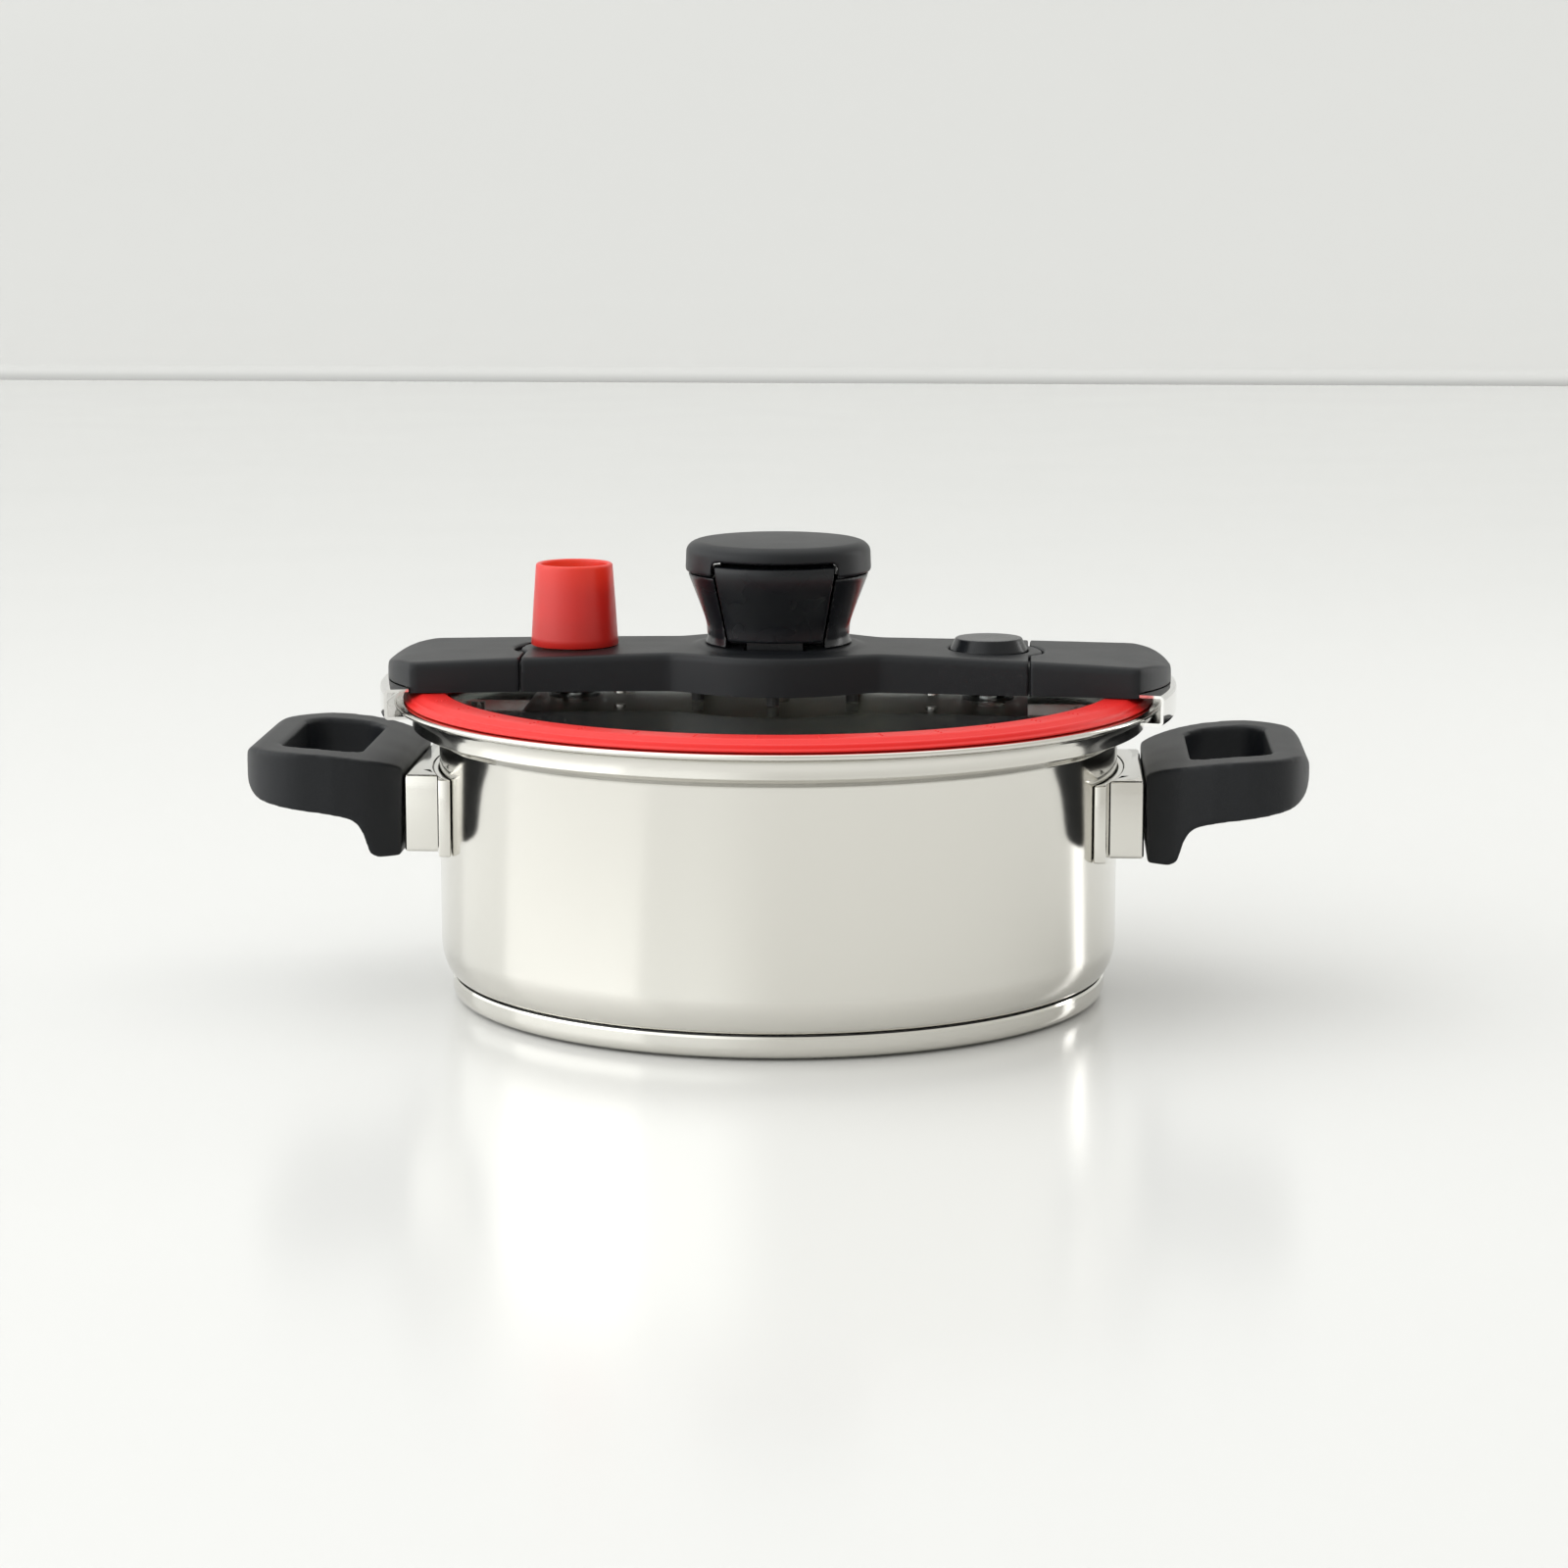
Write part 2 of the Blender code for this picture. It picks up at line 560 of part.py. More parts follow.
def seam_outline(grow):
    """Plan of the bridge's fixed middle: straight seams that bulge round the two valves."""
    seam = BRIDGE_SEAM_X + grow
    radius = SEAM_ARC_R + grow
    points = []
    for sign, tube_x in ((1, VALVE_X), (-1, VENT_X)):
        half = math.degrees(math.acos((seam - abs(tube_x)) / radius))
        curve = arc(abs(tube_x), 0.0, radius, radius, -half, half, 8)
        side = [(seam, -0.06)] + curve + [(seam, 0.06)]
        points += [(sign * x, sign * y) for x, y in side]
    return points


def knob_seat_mesh():
    """The low round seat that the knob stands on."""
    seat_z = BRIDGE_TOP_Z + 0.0005
    low_z = BRIDGE_TOP_Z - BRIDGE_WALL / 2
    profile = [(0.0, low_z), (KNOB_BASE_R + 0.0026, low_z), (KNOB_BASE_R + 0.0020, BRIDGE_TOP_Z)]
    profile += [(KNOB_BASE_R, seat_z), (0.0, seat_z)]
    return lathe_mesh(profile, steps=HUB_ROUND)


def screw_places():
    return [
        (x, y)
        for x in (-BRIDGE_SCREW_X, BRIDGE_SCREW_X)
        for y in (-BRIDGE_SCREW_Y, BRIDGE_SCREW_Y)
    ]


def foot_places():
    angles = [math.radians(base + step) for base in (-90, 90) for step in (-50, 0, 50)]
    return [(FOOT_RING_R * math.cos(a), FOOT_RING_R * math.sin(a)) for a in angles]


def make_housing(plastic):
    housing = add_object(
        "bridge_housing", centre_loft(0.0, BRIDGE_BOTTOM_Z, SEAM_REACH), plastic
    )
    combine(housing, prism_mesh(seam_outline(0.0), 0.0, 0.2), "INTERSECT", "seam_plan")
    join(housing, knob_seat_mesh(), "knob_seat")
    cut(housing, centre_loft(BRIDGE_WALL, 0.0, SEAM_REACH + 0.01), "bridge_space")
    rim_z = bridge_top(VALVE_X) - 0.0008
    valve = (VALVE_X, 0.0)
    cup = cylinder_mesh(WELL_R + BRIDGE_WALL, WELL_FLOOR_Z - BRIDGE_WALL, rim_z, valve)
    join(housing, cup, "well")
    cut(housing, cylinder_mesh(WELL_R, WELL_FLOOR_Z, 0.2, valve), "well_space")
    cut(housing, cylinder_mesh(VALVE_R + GAP, 0.0, 0.2, valve), "well_hole")
    cut(housing, cylinder_mesh(VENT_R + GAP, 0.0, 0.2, (VENT_X, 0.0)), "bridge_vent_hole")
    join(housing, cylinder_mesh(0.0050, DRAWBAR_Z, BRIDGE_TOP_Z - 0.001), "centre_boss")
    for i, (x, y) in enumerate(screw_places()):
        boss = cylinder_mesh(0.0030, DRAWBAR_Z, bridge_top(x) - 0.001, (x, y), 12)
        join(housing, boss, f"boss_{i + 1}")
        hole = cylinder_mesh(SMALL_SCREW_R + GAP, 0.0, DRAWBAR_Z + 0.0060, (x, y), 12)
        cut(housing, hole, f"boss_hole_{i + 1}")
    cut(housing, cylinder_mesh(KNOB_SCREW_R + GAP, 0.0, 0.2, steps=16), "knob_screw_hole")
    for sign, place in ((-1, "front"), (1, "rear")):
        ys = sorted((sign * (KNOB_WEB_HALF + BUTTON_ROOM), sign * (BUTTON_LEG_Y + 0.0011)))
        window = box_mesh((-BUTTON_LEG_HALF - 0.0012, BUTTON_LEG_HALF + 0.0012), ys, (DRAWBAR_Z, 0.2))
        cut(housing, window, f"leg_window_{place}")


def make_base_plate(plastic, steel, rubber):
    inset = BRIDGE_WALL + GAP + SIDE_LEAN
    xs = bridge_places(BRIDGE_SEAM_X)
    outline = [(x, -(bridge_half_y(x) - inset)) for x in xs]
    outline += [(x, bridge_half_y(x) - inset) for x in reversed(xs)]
    bottom = prism_mesh(outline, BRIDGE_BOTTOM_Z, PLATE_TOP_Z)
    plate = add_object("bridge_base_plate", bottom, plastic)
    cut(plate, cylinder_mesh(VENT_R + GAP, 0.0, 0.2, (VENT_X, 0.0)), "plate_vent_hole")
    cut(plate, cylinder_mesh(VALVE_R + GAP, 0.0, 0.2, (VALVE_X, 0.0)), "plate_valve_hole")
    cut(plate, cylinder_mesh(KNOB_SCREW_R + GAP, 0.0, 0.2, steps=16), "plate_knob_hole")
    under = BRIDGE_BOTTOM_Z - GAP
    for i, (x, y) in enumerate(screw_places()):
        hole = cylinder_mesh(SMALL_SCREW_R + GAP, 0.0, 0.2, (x, y), 12)
        cut(plate, hole, f"plate_hole_{i + 1}")
        make_screw(f"bridge_screw_{i + 1}", x, y, SMALL_SCREW_R, 0.0022, under, 0.0070, steel)
    for i, place in enumerate(foot_places()):
        add_object(
            f"bridge_foot_{i + 1}",
            cylinder_mesh(FOOT_R, GLASS_TOP_Z + GAP, under, place, 12),
            rubber,
        )


def make_screw(name, x, y, radius, head_r, under, length, mat, head_t=0.0012):
    """An upright screw driven from below: its head's top is at under."""
    profile = [(0.0, under - head_t), (head_r, under - head_t), (head_r, under)]
    profile += [(radius, under), (radius, under + length), (0.0, under + length)]
    add_object(name, lathe_mesh(profile, (x, y), 12), mat)


# ---------------------------------------------------------------- clamps


def end_half_y(x):
    """Half width of a slider, whose end is rounded in plan."""
    along = x - (BRIDGE_HALF_X - BRIDGE_END_R)
    return min(bridge_half_y(x), math.sqrt(max(0.0, BRIDGE_END_R**2 - along**2)))


def slider_loft():
    start = BRIDGE_SEAM_X - 0.0010
    turn = BRIDGE_HALF_X - 0.0120
    xs = [start + (turn - start) * i / 4 for i in range(5)]
    xs += [BRIDGE_HALF_X - back for back in (0.0090, 0.0060, 0.0030, 0.0012, 0.0003)]
    sections = []
    for x in xs:
        roll = 0.0035 * max(0.0, (x - turn) / (BRIDGE_HALF_X - turn)) ** 3
        half = max(end_half_y(x), 0.0060)
        sections.append(bridge_section(x, half, bridge_top(x) - roll, BRIDGE_BOTTOM_Z))
    return loft_mesh(sections)


def slider_space():
    start = BRIDGE_SEAM_X - 0.0050
    end = CLAMP_HOOK_R - 0.0145
    return loft_mesh(
        [
            bridge_section(x, bridge_half_y(x) - BRIDGE_WALL, bridge_top(x) - BRIDGE_WALL, 0.0)
            for x in (start, (2 * start + end) / 3, (start + 2 * end) / 3, end)
        ]
    )


def swept_mesh(section, spread, steps):
    """Sweep a closed (radius, z) section about the lid's centre, spread degrees either way."""
    bm = bmesh.new()
    face = bm.faces.new([bm.verts.new((r, 0.0, z)) for r, z in section])
    turn = Matrix.Rotation(math.radians(-spread), 3, "Z")
    bmesh.ops.rotate(bm, verts=bm.verts, matrix=turn)
    bmesh.ops.spin(
        bm,
        geom=[face] + list(face.edges) + list(face.verts),
        cent=(0, 0, 0),
        axis=(0, 0, 1),
        angle=math.radians(2 * spread),
        steps=steps,
    )
    bmesh.ops.remove_doubles(bm, verts=bm.verts, dist=1e-7)
    bmesh.ops.recalc_face_normals(bm, faces=bm.faces)
    return bm


def drawbar_outline(tube_x, tube_r):
    """Plan of a drawbar with its wedge faces, and of the long slot round a tube."""
    slope = CLAMP_TRAVEL / BUTTON_TRAVEL
    tip = CAM_NOSE_HALF + GAP * math.hypot(1.0, slope)
    wide = CAM_NOSE_Y + CAM_DEPTH
    half = [(tip, CAM_NOSE_Y), (tip + slope * CAM_DEPTH, wide), (SPRING_POST_X, wide)]
    half += [(SPRING_POST_X + 0.0070, DRAWBAR_HALF_Y), (CLAMP_HOOK_R - 0.0155, DRAWBAR_HALF_Y)]
    outline = [(x, -y) for x, y in half] + [(x, y) for x, y in reversed(half)]
    room = tube_r + 0.0010
    slot = rounded_box_outline(
        (tube_x - CLAMP_TRAVEL - room, tube_x + room), (-room, room), 0.9 * room
    )
    return outline, slot


def make_clamp_side(side, plastic, chrome, steel):
    """Slider, clamp, drawbar and their screws on one side of the lid."""
    sign = 1.0 if side == "right" else -1.0

    def to_side(bm):
        return bm if sign > 0 else mirrored(bm, "X")

    slider = add_object(f"slider_{side}", to_side(slider_loft()), plastic)
    cut(slider, prism_mesh(seam_outline(SEAM_GAP), 0.0, 0.2), f"slider_seam_{side}")
    cut(slider, to_side(slider_space()), f"slider_space_{side}")
    flange_in = CLAMP_HOOK_R - 0.0005
    beyond = CLAMP_R + 0.02
    pocket = [(flange_in - 2 * GAP, 0.0), (beyond, 0.0), (beyond, CLAMP_TOP_Z + GAP)]
    pocket += [(flange_in - 2 * GAP, CLAMP_TOP_Z + GAP)]
    cut(slider, to_side(swept_mesh(pocket, 30, 24)), f"clamp_pocket_{side}")

    outer = CLAMP_R + CLAMP_T / 2
    inner = CLAMP_R - CLAMP_T / 2
    section = [(CLAMP_HOOK_R, CLAMP_BOTTOM_Z), (outer - 0.0006, CLAMP_BOTTOM_Z)]
    section += [(outer, CLAMP_BOTTOM_Z + 0.0006), (outer, CLAMP_TOP_Z - 0.0006)]
    section += [(outer - 0.0006, CLAMP_TOP_Z), (flange_in, CLAMP_TOP_Z)]
    section += [(flange_in, CLAMP_TOP_Z - CLAMP_T), (inner, CLAMP_TOP_Z - CLAMP_T)]
    section += [(inner, CLAMP_BOTTOM_Z + CLAMP_T), (CLAMP_HOOK_R, CLAMP_BOTTOM_Z + CLAMP_T)]
    spread = math.degrees(math.asin(CLAMP_HALF_Y / CLAMP_R))
    clamp = add_object(f"clamp_{side}", to_side(swept_mesh(section, spread, 12)), chrome)

    for place, turn in (("front", -6.5), ("rear", 6.5)):
        angle = math.radians(turn)
        x = sign * CLAMP_SCREW_RING_R * math.cos(angle)
        y = CLAMP_SCREW_RING_R * math.sin(angle)
        hole_low = (CLAMP_BOTTOM_Z + CLAMP_TOP_Z) / 2
        for piece, label in ((clamp, "clamp"), (slider, "slider")):
            hole = cylinder_mesh(SMALL_SCREW_R + GAP, hole_low, CLAMP_TOP_Z + 0.0040, (x, y), 12)
            cut(piece, hole, f"{label}_hole_{side}_{place}")
        under = CLAMP_TOP_Z - CLAMP_T - GAP
        name = f"clamp_screw_{side}_{place}"
        make_screw(name, x, y, SMALL_SCREW_R, 0.0020, under, 0.0045, steel, 0.0009)

    low = DRAWBAR_Z
    tube = (VALVE_X, VALVE_R) if sign > 0 else (-VENT_X, VENT_R)
    outline, slot = drawbar_outline(*tube)
    bar = add_object(f"drawbar_{side}", to_side(prism_mesh(outline, low, low + DRAWBAR_T)), steel)
    cut(bar, to_side(prism_mesh(slot, 0.0, 0.2)), f"drawbar_slot_{side}")
    for place, y in (("front", -SPRING_Y), ("rear", SPRING_Y)):
        centre = (sign * SPRING_POST_X, y)
        post = cylinder_mesh(0.0012, low + DRAWBAR_T / 2, low + 0.0062, centre, 12)
        join(bar, post, f"spring_post_{side}_{place}")
    screw_x = sign * (CLAMP_HOOK_R - 0.0255)
    screw_hole = DRAWBAR_SCREW_R + GAP
    cut(bar, cylinder_mesh(screw_hole, 0.0, 0.2, (screw_x, 0.0), 12), f"bar_hole_{side}")
    boss_low = low + DRAWBAR_T + GAP
    boss = cylinder_mesh(0.0035, boss_low, bridge_top(screw_x) - 0.001, (screw_x, 0.0), 12)
    join(slider, boss, f"slider_boss_{side}")
    hole = cylinder_mesh(screw_hole, boss_low - 0.001, boss_low + 0.0040, (screw_x, 0.0), 12)
    cut(slider, hole, f"slider_boss_hole_{side}")
    name = f"drawbar_screw_{side}"
    make_screw(name, screw_x, 0.0, DRAWBAR_SCREW_R, 0.0026, low - GAP, 0.0055, steel)


# ---------------------------------------------------------------- knob


def grip_outline(points, low_z):
    """Close a list of (radius, z) points onto the axis as a solid of revolution."""
    return [(0.0, low_z)] + points + [(0.0, points[-1][1])]


def make_knob(plastic, steel):
    base = KNOB_BASE_Z
    side = [(KNOB_BASE_R - 0.0004, base), (KNOB_NECK_R, base + 0.0025)]
    side += [(KNOB_NECK_R + 0.0006, base + 0.0077), (KNOB_NECK_R + 0.0028, base + 0.0140)]
    side += [(KNOB_R - 0.0014, KNOB_CAP_Z - 0.0020), (KNOB_R - 0.0010, KNOB_CAP_Z - GAP)]
    neck = add_object("knob_neck", lathe_mesh(grip_outline(side, base), steps=HUB_ROUND), plastic)
    spigot = box_mesh(
        (-0.0200, 0.0200),
        (-KNOB_WEB_HALF, KNOB_WEB_HALF),
        (KNOB_CAP_Z - 0.0020, KNOB_TOP_Z - 0.0040),
    )
    join(neck, spigot, "neck_spigot")
    room = BUTTON_ROOM
    pocket = [(-BUTTON_BOTTOM_HALF - room, 0.0), (BUTTON_BOTTOM_HALF + room, 0.0)]
    pocket += [(BUTTON_BOTTOM_HALF + room, BUTTON_BOTTOM_Z), (BUTTON_TOP_HALF + room, BUTTON_TOP_Z)]
    pocket += [(-BUTTON_TOP_HALF - room, BUTTON_TOP_Z), (-BUTTON_BOTTOM_HALF - room, BUTTON_BOTTOM_Z)]
    for sign, place in ((-1, "front"), (1, "rear")):
        ys = sorted((sign * KNOB_WEB_HALF, sign * 0.05))
        cut(neck, prism_mesh(pocket, *ys, "Y"), f"neck_pocket_{place}")
    cut(neck, cylinder_mesh(KNOB_SCREW_R + GAP, 0.0, base + 0.0172, steps=16), "neck_screw_hole")

    top = [(KNOB_R - 0.0010, KNOB_CAP_Z), (KNOB_R, KNOB_CAP_Z + 0.0010)]
    top += [(KNOB_R - 0.0004, KNOB_CAP_Z + 0.0055)]
    top += arc(KNOB_R - 0.0050, KNOB_TOP_Z - 0.0040, 0.0044, 0.0034, 15, 90, 4)
    top += [(0.0150, KNOB_TOP_Z - 0.0002)]
    cap_outline = [(0.0, KNOB_CAP_Z)] + top + [(0.0, KNOB_TOP_Z)]
    cap = add_object("knob_cap", lathe_mesh(cap_outline, steps=HUB_ROUND), plastic)
    cut(cap, cylinder_mesh(KNOB_R - 0.0035, base, KNOB_TOP_Z - 0.0037, steps=HUB_ROUND), "cap_space")
    for sign, place in ((-1, "front"), (1, "rear")):
        ys = sorted((sign * KNOB_WEB_HALF, sign * 0.05))
        window = box_mesh(
            (-BUTTON_TOP_HALF - room, BUTTON_TOP_HALF + room), ys, (base, BUTTON_TOP_Z + 0.0016)
        )
        cut(cap, window, f"cap_window_{place}")
    under = BRIDGE_BOTTOM_Z - GAP
    length = base + 0.0160 - under
    make_screw("knob_screw", 0.0, 0.0, KNOB_SCREW_R, 0.0040, under, length, steel, 0.0018)


def make_squeeze_button(place, plastic):
    """A trapezoid button with a leg down to the cam that spreads the drawbars."""
    sign = -1.0 if place == "front" else 1.0

    def to_place(bm):
        return bm if sign < 0 else mirrored(bm, "Y")

    face = [(-BUTTON_BOTTOM_HALF, BUTTON_BOTTOM_Z), (BUTTON_BOTTOM_HALF, BUTTON_BOTTOM_Z)]
    face += [(BUTTON_TOP_HALF, BUTTON_TOP_Z), (-BUTTON_TOP_HALF, BUTTON_TOP_Z)]
    back_y = KNOB_WEB_HALF + BUTTON_TRAVEL + 0.0012
    button = add_object(
        f"squeeze_button_{place}", to_place(prism_mesh(face, -0.05, -back_y, "Y")), plastic
    )
    side = [(KNOB_NECK_R + 0.0014, BUTTON_BOTTOM_Z - 0.001), (KNOB_NECK_R + 0.0020, KNOB_BASE_Z + 0.0077)]
    side += [(KNOB_NECK_R + 0.0040, KNOB_BASE_Z + 0.0142), (KNOB_R - 0.0008, KNOB_CAP_Z - 0.0010)]
    side += [(KNOB_R - 0.0006, BUTTON_TOP_Z - 0.0015), (KNOB_R - 0.0020, BUTTON_TOP_Z + 0.001)]
    limit = lathe_mesh(grip_outline(side, BUTTON_BOTTOM_Z - 0.001), steps=HUB_ROUND)
    combine(button, limit, "INTERSECT", f"button_face_{place}")
    low = DRAWBAR_Z
    leg = box_mesh(
        (-BUTTON_LEG_HALF, BUTTON_LEG_HALF),
        (-BUTTON_LEG_Y, -back_y - 0.0008),
        (low, BUTTON_BOTTOM_Z + 0.0020),
    )
    join(button, to_place(leg), f"button_leg_{place}")
    slope = CLAMP_TRAVEL / BUTTON_TRAVEL
    wide = CAM_NOSE_HALF + slope * CAM_DEPTH
    deep = CAM_NOSE_Y + CAM_DEPTH
    cam = [(-CAM_NOSE_HALF, -CAM_NOSE_Y), (-wide, -deep), (-wide, -BUTTON_LEG_Y + 0.0005)]
    cam += [(wide, -BUTTON_LEG_Y + 0.0005), (wide, -deep), (CAM_NOSE_HALF, -CAM_NOSE_Y)]
    join(button, to_place(prism_mesh(cam, low, low + DRAWBAR_T)), f"button_cam_{place}")


# ---------------------------------------------------------------- vent and release valve


def make_vent(steel, brass, silicone, red, rubber):
    lid_low = GLASS_TOP_Z - GLASS_T
    make_tube("vent_tube", VENT_X, VENT_R, VENT_BORE_R, lid_low - 0.0055, VENT_TOP_Z, steel)
    place = (VENT_X, 0.0)
    washer("vent_gasket", VENT_R + GAP, 0.0098, lid_low - 0.0010, lid_low - GAP, place, silicone)
    glass = GLASS_TOP_Z + GAP
    washer("vent_washer", VENT_R + GAP, 0.0092, glass, glass + 0.0014, place, rubber)
    seat = bridge_top(VENT_X) + 0.0007
    washer("vent_nut", VENT_R + GAP, 0.0085, seat, seat + 0.0026, place, steel, 6)
    make_strainer("vent_strainer", VENT_X, steel)
    bore_top = VENT_TOP_Z + GAP
    weight = [(0.0, bore_top), (VENT_R + GAP, bore_top), (VENT_R + GAP, WEIGHT_LOW_Z)]
    weight += [(WEIGHT_R, WEIGHT_LOW_Z), (WEIGHT_R, WEIGHT_TOP_Z - 0.0015)]
    weight += [(WEIGHT_R - 0.0012, WEIGHT_TOP_Z), (0.0, WEIGHT_TOP_Z)]
    add_object("regulator_weight", lathe_mesh(weight, place), brass)
    sleeve_low = bridge_top(VENT_X) + 0.0007
    grip = WEIGHT_R + GAP
    sleeve = [(SLEEVE_BOTTOM_R, sleeve_low), (SLEEVE_TOP_R, SLEEVE_TOP_Z)]
    sleeve += [(SLEEVE_TOP_R - SLEEVE_WALL, SLEEVE_TOP_Z), (SLEEVE_TOP_R - SLEEVE_WALL + 0.0009, VENT_TOP_Z)]
    sleeve += [(grip, VENT_TOP_Z - 0.0010), (grip, VENT_TOP_Z - 0.0060)]
    sleeve += [(SLEEVE_BOTTOM_R - SLEEVE_WALL, VENT_TOP_Z - 0.0070)]
    sleeve += [(SLEEVE_BOTTOM_R - SLEEVE_WALL, sleeve_low)]
    add_object("silicone_sleeve", lathe_mesh(sleeve, place, 32), red)


def make_release_valve(plastic, steel, silicone, rubber):
    lid_low = GLASS_TOP_Z - GLASS_T
    place = (VALVE_X, 0.0)
    bottom = lid_low - 0.0055
    top = BRIDGE_TOP_Z - 0.0042
    make_tube("valve_body", VALVE_X, VALVE_R, VALVE_BORE_R, bottom, top, steel)
    washer("valve_gasket", VALVE_R + GAP, 0.0098, lid_low - 0.0010, lid_low - GAP, place, silicone)
    glass = GLASS_TOP_Z + GAP
    washer("valve_washer", VALVE_R + GAP, 0.0092, glass, glass + 0.0014, place, rubber)
    seat = WELL_FLOOR_Z + GAP
    washer("valve_nut", VALVE_R + GAP, 0.0090, seat, seat + 0.0018, place, steel, 6)
    make_strainer("valve_strainer", VALVE_X, steel)
    skirt = seat + RELEASE_TRAVEL + 0.0002
    roof = RELEASE_TOP_Z - 0.0014
    button = [(0.0, roof), (RELEASE_TOP_R - 0.0012, roof), (RELEASE_R - 0.0014, skirt)]
    button += [(RELEASE_R, skirt), (RELEASE_R, RELEASE_TOP_Z - 0.0034)]
    button += [(RELEASE_TOP_R, RELEASE_TOP_Z - 0.0006), (RELEASE_TOP_R - 0.0006, RELEASE_TOP_Z)]
    button += [(0.0, RELEASE_TOP_Z)]
    add_object("release_button", lathe_mesh(button, place, 32), plastic)
    disc_top = bottom - 0.0010
    stem = [(0.0, disc_top - 0.0015), (0.0045, disc_top - 0.0015), (0.0045, disc_top)]
    stem += [(STEM_R, disc_top), (STEM_R, roof - GAP), (0.0, roof - GAP)]
    add_object("valve_stem", lathe_mesh(stem, place, 16), steel)
    washer("valve_seal", STEM_R + GAP, 0.0043, disc_top + GAP, bottom - GAP, place, silicone)
    spring_low = seat + 0.0018 + 0.0010
    coil_spring(
        "valve_spring",
        (VALVE_X, 0.0, spring_low),
        (VALVE_X, 0.0, roof - 0.0010),
        VALVE_R + 0.0012,
        0.0004,
        3,
        steel,
    )


def main():
    clear_scene()
    steel = finish_material("brushed_steel", (0.62, 0.61, 0.58), 0.28, 1.0)
    polished = finish_material("polished_steel", (0.72, 0.71, 0.68), 0.08, 1.0)
    aluminium = finish_material("aluminium", (0.60, 0.61, 0.62), 0.45, 1.0)
    phenolic = finish_material("black_phenolic", (0.012, 0.012, 0.014), 0.55, 0.0)
    nylon = finish_material("black_nylon", (0.014, 0.015, 0.018), 0.48, 0.0)
    red = finish_material("red_silicone", (0.80, 0.03, 0.03), 0.45, 0.0)
    silicone = finish_material("grey_silicone", (0.35, 0.35, 0.35), 0.60, 0.0)
    rubber = finish_material("black_rubber", (0.02, 0.02, 0.02), 0.70, 0.0)
    glass = finish_material("tempered_glass", (0.75, 0.80, 0.78), 0.03, 0.0, 0.35)
    brass = finish_material("brass_weight", (0.60, 0.47, 0.25), 0.30, 1.0)

    make_pot(steel, polished, aluminium)
    for side in ("left", "right"):
        make_handle(side, phenolic, polished)
    make_glass_lid(glass, red)
    make_housing(nylon)
    make_base_plate(nylon, steel, rubber)
    for side in ("left", "right"):
        make_clamp_side(side, nylon, polished, steel)
    make_knob(nylon, steel)
    for place, y in (("front", -SPRING_Y), ("rear", SPRING_Y)):
        make_squeeze_button(place, nylon)
        height = DRAWBAR_Z + 0.0045
        spring_x = SPRING_POST_X - 0.0016
        ends = ((-spring_x, y, height), (spring_x, y, height))
        coil_spring(f"return_spring_{place}", *ends, 0.0013, 0.0003, 10, steel)
    make_vent(steel, brass, silicone, red, rubber)
    make_release_valve(nylon, steel, silicone, rubber)


main()
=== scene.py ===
"""Finished model of the stovetop pressure cooker, laid out as an add-on, in metres.

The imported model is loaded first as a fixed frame. New pieces stand for its plain nodes, and each
rides on the body of the node that it stands for. +Z is up, +X runs through the handles towards the
release button and -Y is the front.
"""

import math

import bmesh
import bpy
from mathutils import Matrix, Vector


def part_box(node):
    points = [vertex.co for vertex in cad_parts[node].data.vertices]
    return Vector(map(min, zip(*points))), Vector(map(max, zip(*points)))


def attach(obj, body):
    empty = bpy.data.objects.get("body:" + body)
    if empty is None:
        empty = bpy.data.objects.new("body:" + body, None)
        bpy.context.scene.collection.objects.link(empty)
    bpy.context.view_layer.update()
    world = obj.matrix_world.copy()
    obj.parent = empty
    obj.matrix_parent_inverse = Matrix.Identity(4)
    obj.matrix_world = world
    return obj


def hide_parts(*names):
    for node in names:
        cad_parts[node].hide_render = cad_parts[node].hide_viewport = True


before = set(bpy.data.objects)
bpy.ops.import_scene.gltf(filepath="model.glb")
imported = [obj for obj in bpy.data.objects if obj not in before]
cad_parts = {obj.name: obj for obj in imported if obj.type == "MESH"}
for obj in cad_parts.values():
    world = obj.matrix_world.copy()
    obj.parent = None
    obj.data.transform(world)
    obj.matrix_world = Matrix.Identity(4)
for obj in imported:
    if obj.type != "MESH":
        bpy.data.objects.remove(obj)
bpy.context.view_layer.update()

bl_info = {
    "name": "Pressure Cooker",
    "version": (1, 0, 0),
    "blender": (4, 5, 0),
    "location": "View3D > Sidebar > Cooker",
    "description": "Builds the finished pieces of a stovetop pressure cooker",
    "category": "Add Mesh",
}

POT = "pot_unit"
LID = "lid_unit"
SIDES = ("left", "right")

# Places taken from the frame
POT_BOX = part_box("pot_shell")
CAP_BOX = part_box("base_cap")
GLASS_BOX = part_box("lid_glass")
SEAL_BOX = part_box("lid_seal_ring")
HOUSING_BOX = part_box("bridge_housing")
SLIDER_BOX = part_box("slider_right")
CLAMP_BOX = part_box("clamp_right")
NECK_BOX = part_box("knob_neck")
KNOB_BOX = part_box("knob_cap")
SLEEVE_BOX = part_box("silicone_sleeve")
RELEASE_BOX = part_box("release_button")
HANDLE_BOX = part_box("side_handle_right")
GUARD_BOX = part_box("flame_guard_right")
BRACKET_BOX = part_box("handle_bracket_right")

